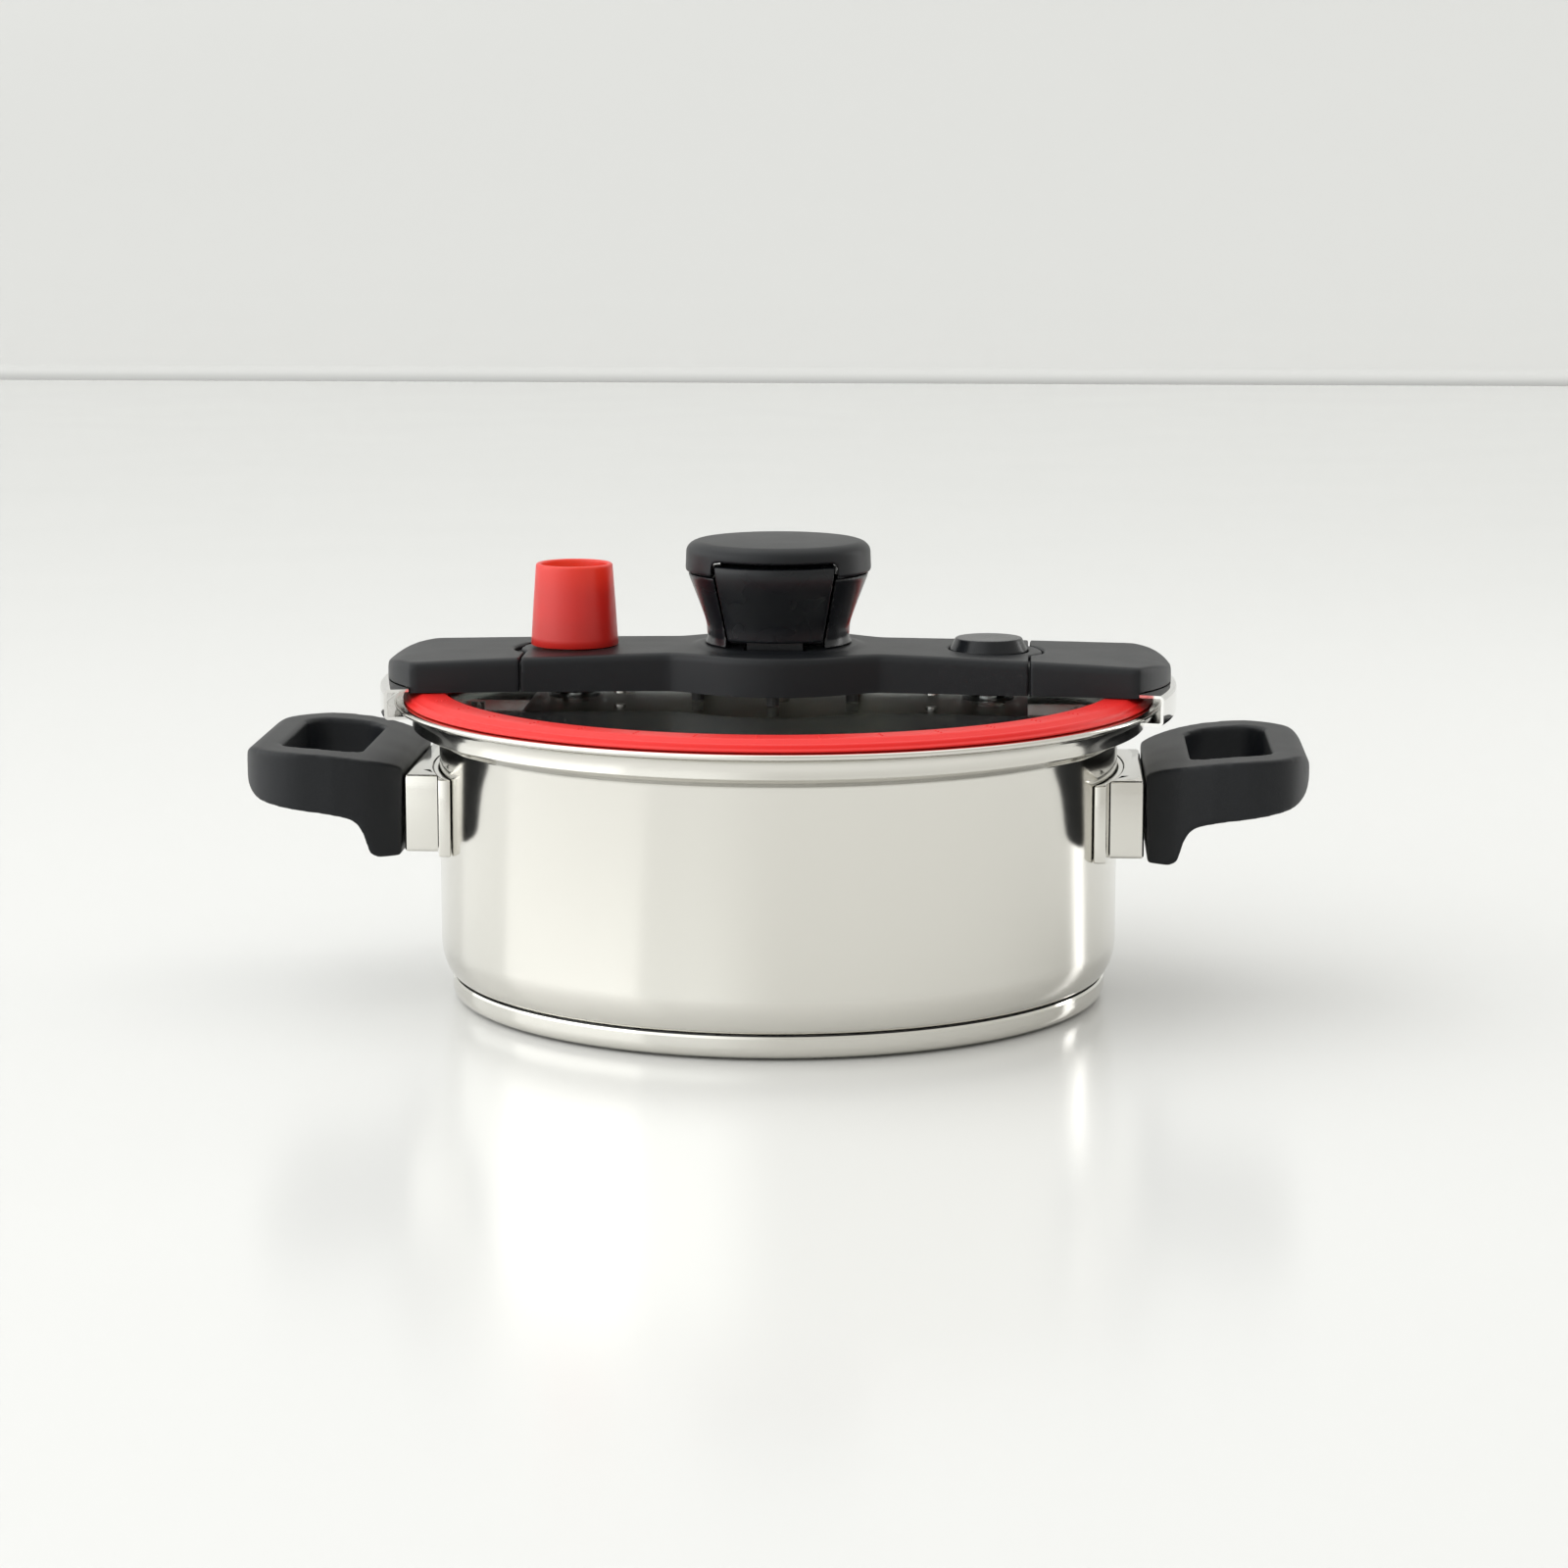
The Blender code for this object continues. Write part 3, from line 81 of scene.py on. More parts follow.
GAP = 0.0003
LIP_R = POT_BOX[1][0]
BASE_R = CAP_BOX[1][0]
BASE_H = CAP_BOX[1][2]
GLASS_R = GLASS_BOX[1][0]
GLASS_LOW_Z = GLASS_BOX[0][2]
GLASS_TOP_Z = GLASS_BOX[1][2]
SEAL_TOP_Z = SEAL_BOX[1][2]
BRIDGE_LOW_Z = HOUSING_BOX[0][2]
BRIDGE_TOP_Z = HOUSING_BOX[1][2] - 0.0005
BRIDGE_END_TOP_Z = BRIDGE_TOP_Z - 0.0038
BRIDGE_HALF_X = SLIDER_BOX[1][0] + 0.0003
LEDGE_Z = POT_BOX[1][2] - 0.0095
DRAWBAR_Z = BRIDGE_LOW_Z + 0.0021
HANDLE_SCREW_Z = GUARD_BOX[1][2] - 0.0071
FINGER_X = (HANDLE_BOX[0][0] + 0.0158, HANDLE_BOX[1][0] - 0.0134)
FINGER_HALF_Y = 0.0345
FINGER_CORNER_R = 0.0095
GUARD_WALL = 0.0010
BRACKET_T = 0.0020
LUG_HALF_Y = 0.0100
HANDLE_BORE_R = 0.0025
VENT_BORE_R = 0.0053
VALVE_BORE_R = 0.0063
BRIDGE_WALL = 0.0020
SLIDER_WALL = 0.0017
TRIM_DEPTH = 0.0030
LIP_OUTSIDE = 0.0019
LIP_INSIDE = 0.0034
WELL_FLOOR_Z = BRIDGE_TOP_Z - 0.0068
HOOK_R = LIP_R - 0.0032
KNOB_R = KNOB_BOX[1][0]
KNOB_TOP_Z = KNOB_BOX[1][2]
KNOB_CAP_Z = KNOB_BOX[0][2]
VENT_X = (SLEEVE_BOX[0][0] + SLEEVE_BOX[1][0]) / 2
VALVE_X = (RELEASE_BOX[0][0] + RELEASE_BOX[1][0]) / 2
CLAMP_R = CLAMP_BOX[1][0]
HUB_BLEND = 0.0120
CAMERA_TURN = 3.2
FINE = 160


class CookerSizes(bpy.types.PropertyGroup):
    """Sizes that shape the new pieces."""

    body_radius: bpy.props.FloatProperty(
        name="Body radius", description="Outside radius of the pot's wall", default=0.121, unit="LENGTH"
    )
    wall: bpy.props.FloatProperty(
        name="Wall", description="Thickness of the pot's wall", default=0.001, unit="LENGTH"
    )
    seam: bpy.props.FloatProperty(
        name="Seam", description="Gap between the bridge and its sliders", default=0.0006, unit="LENGTH"
    )
    dot_groups: bpy.props.IntProperty(
        name="Dot groups", description="Radial rows of raised dots on the seal ring", default=38, min=3
    )


class CookerColours(bpy.types.PropertyGroup):
    """Colours of the finishes."""

    steel: bpy.props.FloatVectorProperty(
        name="Steel", description="Tint of the pot's steel", default=(0.70, 0.685, 0.64), subtype="COLOR"
    )
    plastic: bpy.props.FloatVectorProperty(
        name="Plastic", description="Moulded black plastic", default=(0.007, 0.008, 0.010), subtype="COLOR"
    )
    silicone: bpy.props.FloatVectorProperty(
        name="Silicone",
        description="Seal ring and vent sleeve",
        default=(0.78, 0.016, 0.014),
        subtype="COLOR",
    )
    floor: bpy.props.FloatVectorProperty(
        name="Floor", description="Floor and backdrop", default=(0.77, 0.77, 0.765), subtype="COLOR"
    )


# ---------------------------------------------------------------- shader maths


class Socket:
    """An output socket that takes part in Python sums, which add Math nodes."""

    def __init__(self, tree, output):
        self.tree = tree
        self.output = output

    def _math(self, operation, other, flipped=False):
        values = (other, self) if flipped else (self, other)
        return self.tree.node("ShaderNodeMath", {"operation": operation}, dict(enumerate(values)))

    def __add__(self, other):
        return self._math("ADD", other)

    def __sub__(self, other):
        return self._math("SUBTRACT", other)

    def __mul__(self, other):
        return self._math("MULTIPLY", other)

    def __rsub__(self, other):
        return self._math("SUBTRACT", other, True)

    __radd__ = __add__
    __rmul__ = __mul__


class Finish:
    """A material and its node tree, made round one Principled shader."""

    def __init__(self, name, colour, roughness, metallic=0.0, **uniform):
        self.material = bpy.data.materials.new(name)
        self.material.use_nodes = True
        self.nodes = self.material.node_tree.nodes
        self.links = self.material.node_tree.links
        self.shader = self.nodes["Principled BSDF"]
        self.set_input(self.shader, "Base Color", (*colour, 1.0))
        self.set_input(self.shader, "Roughness", roughness)
        self.set_input(self.shader, "Metallic", metallic)
        for name, value in uniform.items():
            self.set_input(self.shader, name.replace("_", " ").title().replace("Ior", "IOR"), value)

    def set_input(self, node, key, value):
        socket = node.inputs[key]
        if isinstance(value, Socket):
            self.links.new(value.output, socket)
        else:
            socket.default_value = value

    def node(self, kind, settings=None, inputs=None, output=0):
        """Add a node: its settings first, then the values or links of its sockets."""
        node = self.nodes.new(kind)
        for key, value in (settings or {}).items():
            if key == "stops":
                for index, (place, colour) in enumerate(value):
                    element = (
                        node.color_ramp.elements[index] if index < 2 else node.color_ramp.elements.new(place)
                    )
                    element.position = place
                    element.color = (*colour, 1.0) if isinstance(colour, tuple) else (colour,) * 3 + (1.0,)
            else:
                setattr(node, key, value)
        for key, value in (inputs or {}).items():
            self.set_input(node, key, value)
        return Socket(self, node.outputs[output])

    def place(self, scale=(1.0, 1.0, 1.0)):
        """Object coordinates, scaled."""
        coordinates = self.node("ShaderNodeTexCoord", output="Object")
        return self.node("ShaderNodeMapping", None, {"Vector": coordinates, "Scale": scale})

    def noise(self, scale, detail=2.0, stretch=(1.0, 1.0, 1.0)):
        return self.node(
            "ShaderNodeTexNoise",
            None,
            {"Vector": self.place(stretch), "Scale": scale, "Detail": detail},
        )

    def feed(self, key, value):
        self.set_input(self.shader, key, value)

    def bump(self, height, strength, distance=0.0002):
        normal = self.node(
            "ShaderNodeBump", None, {"Height": height, "Strength": strength, "Distance": distance}
        )
        self.feed("Normal", normal)


FINISHES = {}


def steel_finish(name, colour, roughness, brushing, grain):
    """Steel with fine lines that run round the pot."""
    finish = Finish(name, colour, roughness, 1.0)
    lines = finish.noise(40.0, 3.0, (0.35, 0.35, grain))
    finish.feed("Roughness", lines * brushing + (roughness - brushing / 2))
    finish.bump(lines, 0.05 if brushing > 0.02 else 0.01, 0.0001)
    return finish.material


def plastic_finish(name, colour, roughness, depth, **uniform):
    """Moulded plastic with a fine spark-eroded grain."""
    finish = Finish(name, colour, roughness, 0.0, **uniform)
    grain = finish.noise(2600.0, 2.0)
    broad = finish.noise(60.0, 2.0)
    finish.feed("Roughness", broad * 0.08 + (roughness - 0.04))
    finish.bump(grain, depth, 0.00012)
    return finish.material


def plain_finish(name, colour, roughness, metallic=0.0, scale=300.0, **uniform):
    """A smooth finish whose gloss wanders a little."""
    finish = Finish(name, colour, roughness, metallic, **uniform)
    finish.feed("Roughness", finish.noise(scale) * 0.06 + (roughness - 0.03))
    return finish.material


def make_finishes(colours):
    """Every finish of the object, by name."""
    black = tuple(colours.plastic)
    steel = tuple(colours.steel)
    red = tuple(colours.silicone)
    FINISHES["satin_steel"] = steel_finish("satin_steel", steel, 0.13, 0.04, 90.0)
    FINISHES["polished_steel"] = steel_finish("polished_steel", steel, 0.09, 0.02, 30.0)
    FINISHES["bright_steel"] = plain_finish("bright_steel", (0.62, 0.62, 0.60), 0.22, 1.0)
    FINISHES["chrome"] = plain_finish("chrome", (0.80, 0.79, 0.77), 0.06, 1.0)
    FINISHES["aluminium"] = plain_finish("aluminium", (0.50, 0.50, 0.50), 0.5, 1.0)
    FINISHES["black_phenolic"] = plastic_finish(
        "black_phenolic", black, 0.44, 0.35, specular_ior_level=0.28
    )
    FINISHES["black_nylon"] = plastic_finish("black_nylon", black, 0.42, 0.30, specular_ior_level=0.28)
    FINISHES["smooth_nylon"] = plastic_finish("smooth_nylon", black, 0.27, 0.06, specular_ior_level=0.30)
    FINISHES["red_silicone"] = plain_finish(
        "red_silicone", red, 0.40, subsurface_weight=0.12, specular_ior_level=0.3
    )
    FINISHES["clear_red_silicone"] = plain_finish(
        "clear_red_silicone", (0.86, 0.022, 0.016), 0.34, transmission_weight=0.15, subsurface_weight=0.3
    )
    FINISHES["grey_silicone"] = plain_finish("grey_silicone", (0.28, 0.28, 0.28), 0.55)
    FINISHES["black_rubber"] = plain_finish("black_rubber", (0.018, 0.018, 0.018), 0.62)
    FINISHES["lid_glass"] = plain_finish(
        "clear_lid_glass", (0.80, 0.84, 0.83), 0.03, transmission_weight=1.0, ior=1.50
    )
    FINISHES["brass"] = plain_finish("brass", (0.60, 0.44, 0.20), 0.30, 1.0)


# ---------------------------------------------------------------- shapes


def arc(cx, cy, rx, ry, start, end, steps):
    """Points on an elliptical arc, angles in degrees."""
    angles = [math.radians(start + (end - start) * i / steps) for i in range(steps + 1)]
    return [(cx + rx * math.cos(a), cy + ry * math.sin(a)) for a in angles]


def curve_through(points, steps=6):
    """A smooth run of points through the given ones."""
    ends = [points[0]] + list(points) + [points[-1]]
    result = [points[0]]
    for a, b, c, d in zip(ends, ends[1:], ends[2:], ends[3:]):
        for i in range(1, steps + 1):
            t = i / steps
            result.append(
                tuple(
                    0.5 * (2 * q + (r - p) * t + (2 * p - 5 * q + 4 * r - s) * t * t
                           + (3 * q - p - 3 * r + s) * t**3)
                    for p, q, r, s in zip(a, b, c, d)
                )
            )
    return result


def spun(profile, steps=FINE, centre=(0.0, 0.0)):
    """A closed (radius, z) outline spun about a vertical axis."""
    bm = bmesh.new()
    verts = [bm.verts.new((r, 0.0, z)) for r, z in profile]
    edges = [bm.edges.new((verts[i - 1], verts[i])) for i in range(len(verts))]
    bmesh.ops.spin(
        bm, geom=verts + edges, cent=(0, 0, 0), axis=(0, 0, 1), angle=math.tau, steps=steps, use_merge=True
    )
    bmesh.ops.remove_doubles(bm, verts=bm.verts, dist=1e-7)
    bmesh.ops.dissolve_degenerate(bm, dist=1e-8, edges=bm.edges)
    bmesh.ops.translate(bm, verts=bm.verts, vec=(*centre, 0.0))
    bmesh.ops.recalc_face_normals(bm, faces=bm.faces)
    return bm


def swept(section, spread, steps):
    """A (radius, z) section swept about the Z axis, spread degrees either way, with its ends closed."""
    bm = bmesh.new()
    face = bm.faces.new([bm.verts.new((r, 0.0, z)) for r, z in section])
    turn = Matrix.Rotation(math.radians(-spread), 3, "Z")
    bmesh.ops.rotate(bm, verts=bm.verts, matrix=turn)
    bmesh.ops.spin(
        bm,
        geom=[face, *face.edges, *face.verts],
        cent=(0, 0, 0),
        axis=(0, 0, 1),
        angle=math.radians(2 * spread),
        steps=steps,
    )
    bmesh.ops.remove_doubles(bm, verts=bm.verts, dist=1e-7)
    bmesh.ops.recalc_face_normals(bm, faces=bm.faces)
    return bm


def slab(outline, low, high, axis="Z"):
    """A closed outline extruded between two places on an axis."""
    place = {
        "Z": lambda u, v, w: (u, v, w),
        "Y": lambda u, v, w: (u, w, v),
        "X": lambda u, v, w: (w, u, v),
    }[axis]
    bm = bmesh.new()
    face = bm.faces.new([bm.verts.new(place(u, v, low)) for u, v in outline])
    grown = bmesh.ops.extrude_face_region(bm, geom=[face])["geom"]
    moved = [item for item in grown if isinstance(item, bmesh.types.BMVert)]
    bmesh.ops.translate(bm, verts=moved, vec=Vector(place(0, 0, high - low)))
    bmesh.ops.recalc_face_normals(bm, faces=bm.faces)
    return bm


def block(xs, ys, zs):
    """A box between two places on each axis."""
    return slab([(xs[0], ys[0]), (xs[1], ys[0]), (xs[1], ys[1]), (xs[0], ys[1])], *zs)


def disc(radius, low, high, centre=(0.0, 0.0), steps=64):
    """An upright round bar between two heights."""
    outline = [(centre[0] + x, centre[1] + y) for x, y in arc(0, 0, radius, radius, 0, 360, steps)[:-1]]
    return slab(outline, low, high)


def round_box(xs, ys, radius, steps=8):
    """Rectangle with round corners, anticlockwise."""
    points = []
    for cx, cy, start in (
        (xs[1] - radius, ys[0] + radius, -90),
        (xs[1] - radius, ys[1] - radius, 0),
        (xs[0] + radius, ys[1] - radius, 90),
        (xs[0] + radius, ys[0] + radius, 180),
    ):
        points += arc(cx, cy, radius, radius, start, start + 90, steps)
    return points


def lofted(sections):
    """Skin a row of closed loops with the same number of points, with both ends closed."""
    bm = bmesh.new()
    loops = []
    for section in sections:
        verts = [bm.verts.new(point) for point in section]
        loops.append([bm.edges.new((verts[i - 1], verts[i])) for i in range(len(verts))])
    for near, far in zip(loops, loops[1:]):
        bmesh.ops.bridge_loops(bm, edges=near + far)
    bmesh.ops.contextual_create(bm, geom=loops[0])
    bmesh.ops.contextual_create(bm, geom=loops[-1])
    bmesh.ops.recalc_face_normals(bm, faces=bm.faces)
    return bm


def new_object(name, bm, finish, angle=35.0):
    """Turn a bmesh into a linked object with smooth faces and its finish."""
    mesh = bpy.data.meshes.new(name)
    bm.to_mesh(mesh)
    bm.free()
    mesh.shade_smooth()
    if angle < 180:
        mesh.set_sharp_from_angle(angle=math.radians(angle))
    obj = bpy.data.objects.new(name, mesh)
    obj.data.materials.append(FINISHES[finish])
    bpy.context.scene.collection.objects.link(obj)
    return obj


def settle(obj, angle=35.0):
    """Turn an object's modifiers into its mesh."""
    graph = bpy.context.evaluated_depsgraph_get()
    mesh = bpy.data.meshes.new_from_object(obj.evaluated_get(graph))
    obj.modifiers.clear()
    obj.data = mesh
    mesh.shade_smooth()
    if angle < 180:
        mesh.set_sharp_from_angle(angle=math.radians(angle))
    return obj


def combined(obj, shapes):
    """Join on, cut away or keep the overlap with each (operation, shape) in turn."""
    helpers = []
    for number, (operation, bm) in enumerate(shapes):
        helper = new_object(f"{obj.name}_tool_{number}", bm, next(iter(FINISHES)))
        modifier = obj.modifiers.new("shape", "BOOLEAN")
        modifier.operation = operation
        modifier.solver = "EXACT"
        modifier.object = helper
        helpers.append(helper)
    settle(obj)
    for helper in helpers:
        bpy.data.objects.remove(helper, do_unlink=True)
    return obj


def softened(obj, cell, rounds):
    """Even out the surface into small cells and relax it, which rounds every edge and corner."""
    remesh = obj.modifiers.new("cells", "REMESH")
    remesh.mode = "VOXEL"
    remesh.voxel_size = cell
    relax = obj.modifiers.new("relax", "SMOOTH")
    relax.factor = 0.5
    relax.iterations = rounds
    return settle(obj, 180)


def bevelled(obj, width, segments=3, angle=40.0):
    """Round the edges sharper than an angle."""
    modifier = obj.modifiers.new("edges", "BEVEL")
    modifier.width = width
    modifier.segments = segments
    modifier.limit_method = "ANGLE"
    modifier.angle_limit = math.radians(angle)
    modifier.harden_normals = False
    return settle(obj, angle)


def stands_for(obj, body, slot, *nodes):
    """The piece rides on a body and hides the nodes that it stands for; its slot is not used."""
    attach(obj, body)
    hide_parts(*nodes)
    return obj


# ---------------------------------------------------------------- pot


def shell_outline(sizes):
    """Section of the pot: up the outside to the rolled lip, then down the inside one wall further in."""
    r = sizes.body_radius
    wall = sizes.wall
    foot = BASE_H + GAP
    ledge_r, ledge_z = r + 0.0094, LEDGE_Z
    lip_z = POT_BOX[1][2] - 0.0009
    outside = [(0.0, foot)]
    outside += arc(r - 0.006, foot + 0.013, 0.006, 0.013, -90, 0, 14)
    outside += [(r, ledge_z - 0.0046)]
    step = [(r + 0.0002, ledge_z - 0.0040), (r + 0.0036, ledge_z - 0.0011)]
    outside += curve_through([*step, (ledge_r - 0.0010, ledge_z - 0.0003)], 5)
    outside += curve_through(
        [
            (ledge_r, ledge_z + 0.0003),
            (ledge_r + 0.0001, ledge_z + 0.0040),
            (ledge_r + 0.0015, ledge_z + 0.0064),
            (LIP_R - 0.0016, lip_z - 0.0012),
        ],
        6,
    )
    outside += arc(LIP_R - 0.0008, lip_z - 0.0001, 0.0008, 0.0009, -60, 90, 8)
    inside = [(ledge_r + 0.0012, lip_z + 0.0008), (ledge_r - 0.0006, ledge_z + 0.0052)]
    inside += [(ledge_r - 0.0010, ledge_z + 0.0012), (r + 0.0012, ledge_z - 0.0003)]
    inside += [(r - wall, ledge_z - 0.0032)]
    inside += reversed(arc(r - 0.006, foot + 0.013, 0.006 - wall, 0.013 - wall, -90, 0, 10))
    inside += [(0.0, foot + wall)]
    return outside + inside


def make_pot(sizes):
    """The drawn steel pot with its rolled rim, and the disc under it."""
    shell = new_object("pot_wall_and_rim", spun(shell_outline(sizes), FINE + 80), "satin_steel", 30)
    stands_for(shell, POT, "brushed_steel", "pot_shell")
    cap = [(0.0, 0.0), (BASE_R - 0.0045, 0.0)]
    cap += arc(BASE_R - 0.0040, 0.0035, 0.0040, 0.0035, -80, -10, 6)
    cap += [(BASE_R, 0.0044), (BASE_R, BASE_H - 0.0008), (BASE_R - 0.0005, BASE_H)]
    cap += [(BASE_R - 0.0010, BASE_H), (BASE_R - 0.0010, 0.0036), (BASE_R - 0.0050, 0.0010), (0.0, 0.0010)]
    base = new_object("base_disc", spun(cap, FINE + 80), "polished_steel", 30)
    stands_for(base, POT, "polished_steel", "base_cap")


# ---------------------------------------------------------------- side handles


def handle_side_view(out_x, in_x, leg_z, top_z):
    """Side view (x, z) of a handle, from the foot of its leg round the outer end and back."""
    leg_x = in_x + 0.0079
    end_r = 0.0060
    end_x = out_x - end_r
    points = [(in_x + 0.0008, leg_z)]
    points += curve_through(
        [
            (leg_x, leg_z),
            (leg_x + 0.0028, leg_z + 0.0016),
            (leg_x + 0.0040, leg_z + 0.0046),
            (leg_x + 0.0054, leg_z + 0.0092),
            (leg_x + 0.0078, leg_z + 0.0128),
            (leg_x + 0.0115, leg_z + 0.0147),
            (leg_x + 0.0200, leg_z + 0.0164),
            (end_x - 0.0070, leg_z + 0.0187),
            (end_x, leg_z + 0.0202),
            (out_x - 0.0018, leg_z + 0.0235),
            (out_x, leg_z + 0.0280),
        ],
        4,
    )
    points += arc(end_x, top_z - end_r, end_r, end_r, 0, 90, 8)
    points += curve_through(
        [
            (FINGER_X[0] + 0.0220, top_z),
            (FINGER_X[0] + 0.0090, top_z - 0.0010),
            (FINGER_X[0] - 0.0020, top_z - 0.0027),
            (FINGER_X[0] - 0.0110, top_z - 0.0049),
            (in_x, top_z - 0.0070),
        ],
        4,
    )
    return points


def handle_plan_view(out_x, in_x, half_y):
    """Plan (x, y) of a handle: a broad loop, narrower where it meets the pot."""
    half = curve_through(
        [
            (in_x, 0.0370),
            (in_x + 0.0052, 0.0410),
            (in_x + 0.0130, half_y - 0.0030),
            (in_x + 0.0230, half_y - 0.0004),
        ],
        5,
    )
    half += arc(out_x - 0.0240, half_y - 0.0300, 0.0240, 0.0300, 90, 0, 20)
    return [(x, -y) for x, y in half] + [(x, y) for x, y in reversed(half)]


def make_handle(side):
    """Moulded loop with a finger hole and a screw bore."""
    out_x, in_x = HANDLE_BOX[1][0], HANDLE_BOX[0][0]
    half_y, top_z = HANDLE_BOX[1][1], HANDLE_BOX[1][2]
    view = handle_side_view(out_x, in_x, HANDLE_BOX[0][2], top_z)
    handle = new_object(
        f"handle_loop_{side}", slab(view, -half_y - 0.002, half_y + 0.002, "Y"), "black_phenolic"
    )
    hole = round_box(FINGER_X, (-FINGER_HALF_Y, FINGER_HALF_Y), FINGER_CORNER_R)
    combined(
        handle,
        [
            ("INTERSECT", slab(handle_plan_view(out_x, in_x, half_y), 0.03, 0.12)),
            ("DIFFERENCE", slab(hole, 0.03, 0.12)),
        ],
    )
    softened(handle, 0.0007, 12)
    combined(handle, [("DIFFERENCE", disc_across(HANDLE_BORE_R, 0.12, 0.16, HANDLE_SCREW_Z))])
    mirror_mesh(handle, side, 60)
    stands_for(handle, POT, "black_phenolic", f"side_handle_{side}")


def make_guard(side, sizes):
    """Thin sleeve between the pot and the handle, with a small three-cornered hole in its top."""
    half_y = GUARD_BOX[1][1]
    low, high = GUARD_BOX[0][2], GUARD_BOX[1][2]
    outer = block((0.1100, GUARD_BOX[1][0]), (-half_y, half_y), (low, high))
    guard = new_object(f"guard_sleeve_{side}", outer, "polished_steel")
    bevelled(guard, 0.0012, 4)
    inner_ys = (-half_y + GUARD_WALL, half_y - GUARD_WALL)
    inner = block((0.1, 0.14), inner_ys, (low + GUARD_WALL, high - GUARD_WALL))
    trim = disc(sizes.body_radius + 0.0026, 0.04, 0.10, steps=480)
    corners = [(0.1204, -0.0305), (0.1247, -0.0240), (0.1222, -0.0240)]
    window = slab(corners, high - 0.003, high + 0.003)
    combined(guard, [("DIFFERENCE", inner), ("DIFFERENCE", trim), ("DIFFERENCE", window)])
    mirror_mesh(guard, side)
    stands_for(guard, POT, "polished_steel", f"flame_guard_{side}")


def make_bracket(side, sizes):
    """Curved plate on the pot's wall, with ears that close behind it and a lug for the screw."""
    half_y = BRACKET_BOX[1][1]
    low, high = GUARD_BOX[0][2], GUARD_BOX[1][2]
    wall_r = sizes.body_radius + GAP
    outer_r = wall_r + BRACKET_T
    ear_x = sizes.body_radius - 0.0045
    spread = math.degrees(math.asin(half_y / wall_r))
    ear = math.degrees(math.acos(ear_x / outer_r))
    plate = arc(0, 0, wall_r, wall_r, -spread, spread, 40)
    plate += [(ear_x, half_y), *arc(0, 0, outer_r, outer_r, ear, -ear, 40), (ear_x, -half_y)]
    bracket = new_object(f"welded_bracket_{side}", slab(plate, low, high), "polished_steel")
    bevelled(bracket, 0.0006, 3, 50)
    lug_xs = (sizes.body_radius + 0.001, HANDLE_BOX[0][0] - GAP)
    lug = block(lug_xs, (-LUG_HALF_Y, LUG_HALF_Y), (low + 0.0058, high - 0.0016))
    bore = disc_across(HANDLE_BORE_R, sizes.body_radius + 0.0025, 0.14, HANDLE_SCREW_Z)
    combined(bracket, [("UNION", lug), ("DIFFERENCE", bore)])
    mirror_mesh(bracket, side)
    stands_for(bracket, POT, "polished_steel", f"handle_bracket_{side}")


def disc_across(radius, low, high, height):
    """A round bar along X at a height."""
    return slab(arc(0, height, radius, radius, 0, 360, 32)[:-1], low, high, "X")


def mirror_mesh(obj, side, angle=40):
    """Put a right-hand mesh on its side of the pot."""
    if side == "left":
        obj.data.transform(Matrix.Diagonal((-1, 1, 1, 1)))
        obj.data.flip_normals()
    obj.data.shade_smooth()
    obj.data.set_sharp_from_angle(angle=math.radians(angle))


# ---------------------------------------------------------------- lid


def seal_profile():
    """Section of the seal ring: flat top, a soft crease, a rounded skirt and a thin flange."""
    top = SEAL_TOP_Z
    lip_top = POT_BOX[1][2] + GAP
    inner = SEAL_BOX_INNER
    outline = [(inner, top - 0.0004), (inner, GLASS_TOP_Z + GAP), (GLASS_R + GAP, GLASS_TOP_Z + GAP)]
    outline += [(GLASS_R + GAP, GLASS_LOW_Z - GAP), (inner, GLASS_LOW_Z - GAP)]
    outline += [(inner, GLASS_LOW_Z - 0.0019), (0.1263, GLASS_LOW_Z - 0.0019)]
    outline += [(0.1275, LEDGE_Z + 0.0013), (0.1287, LEDGE_Z + 0.0013), (0.1291, LEDGE_Z + 0.0045)]
    outline += [(0.1306, lip_top), (LIP_R - 0.0033, lip_top), (LIP_R - 0.0031, lip_top + 0.0003)]
    outline += [(LIP_R - 0.0032, lip_top + 0.0006)]
    outline += curve_through(
        [
            (LIP_R - 0.0045, lip_top + 0.0011),
            (LIP_R - 0.0051, lip_top + 0.0021),
            (LIP_R - 0.0062, top - 0.0014),
            (0.1285, top - 0.0003),
        ],
        6,
    )
    outline += [(0.1281, top - 0.0002), (0.1277, top - 0.0001), (inner + 0.0005, top)]
    return outline


SEAL_BOX_INNER = 0.1195


def make_dots(groups):
    """Radial rows of three tiny raised dots round the flat top of the seal ring."""
    dots = bmesh.new()
    for group in range(groups):
        turn = math.tau * (group + 0.5) / groups
        for radius in (0.1226, 0.1245, 0.1264):
            made = bmesh.ops.create_icosphere(dots, subdivisions=1, radius=0.00042)["verts"]
            bmesh.ops.scale(dots, vec=(1, 1, 0.75), verts=made)
            place = Vector((radius * math.cos(turn), radius * math.sin(turn), SEAL_TOP_Z - 0.00008))
            bmesh.ops.translate(dots, vec=place, verts=made)
    return dots


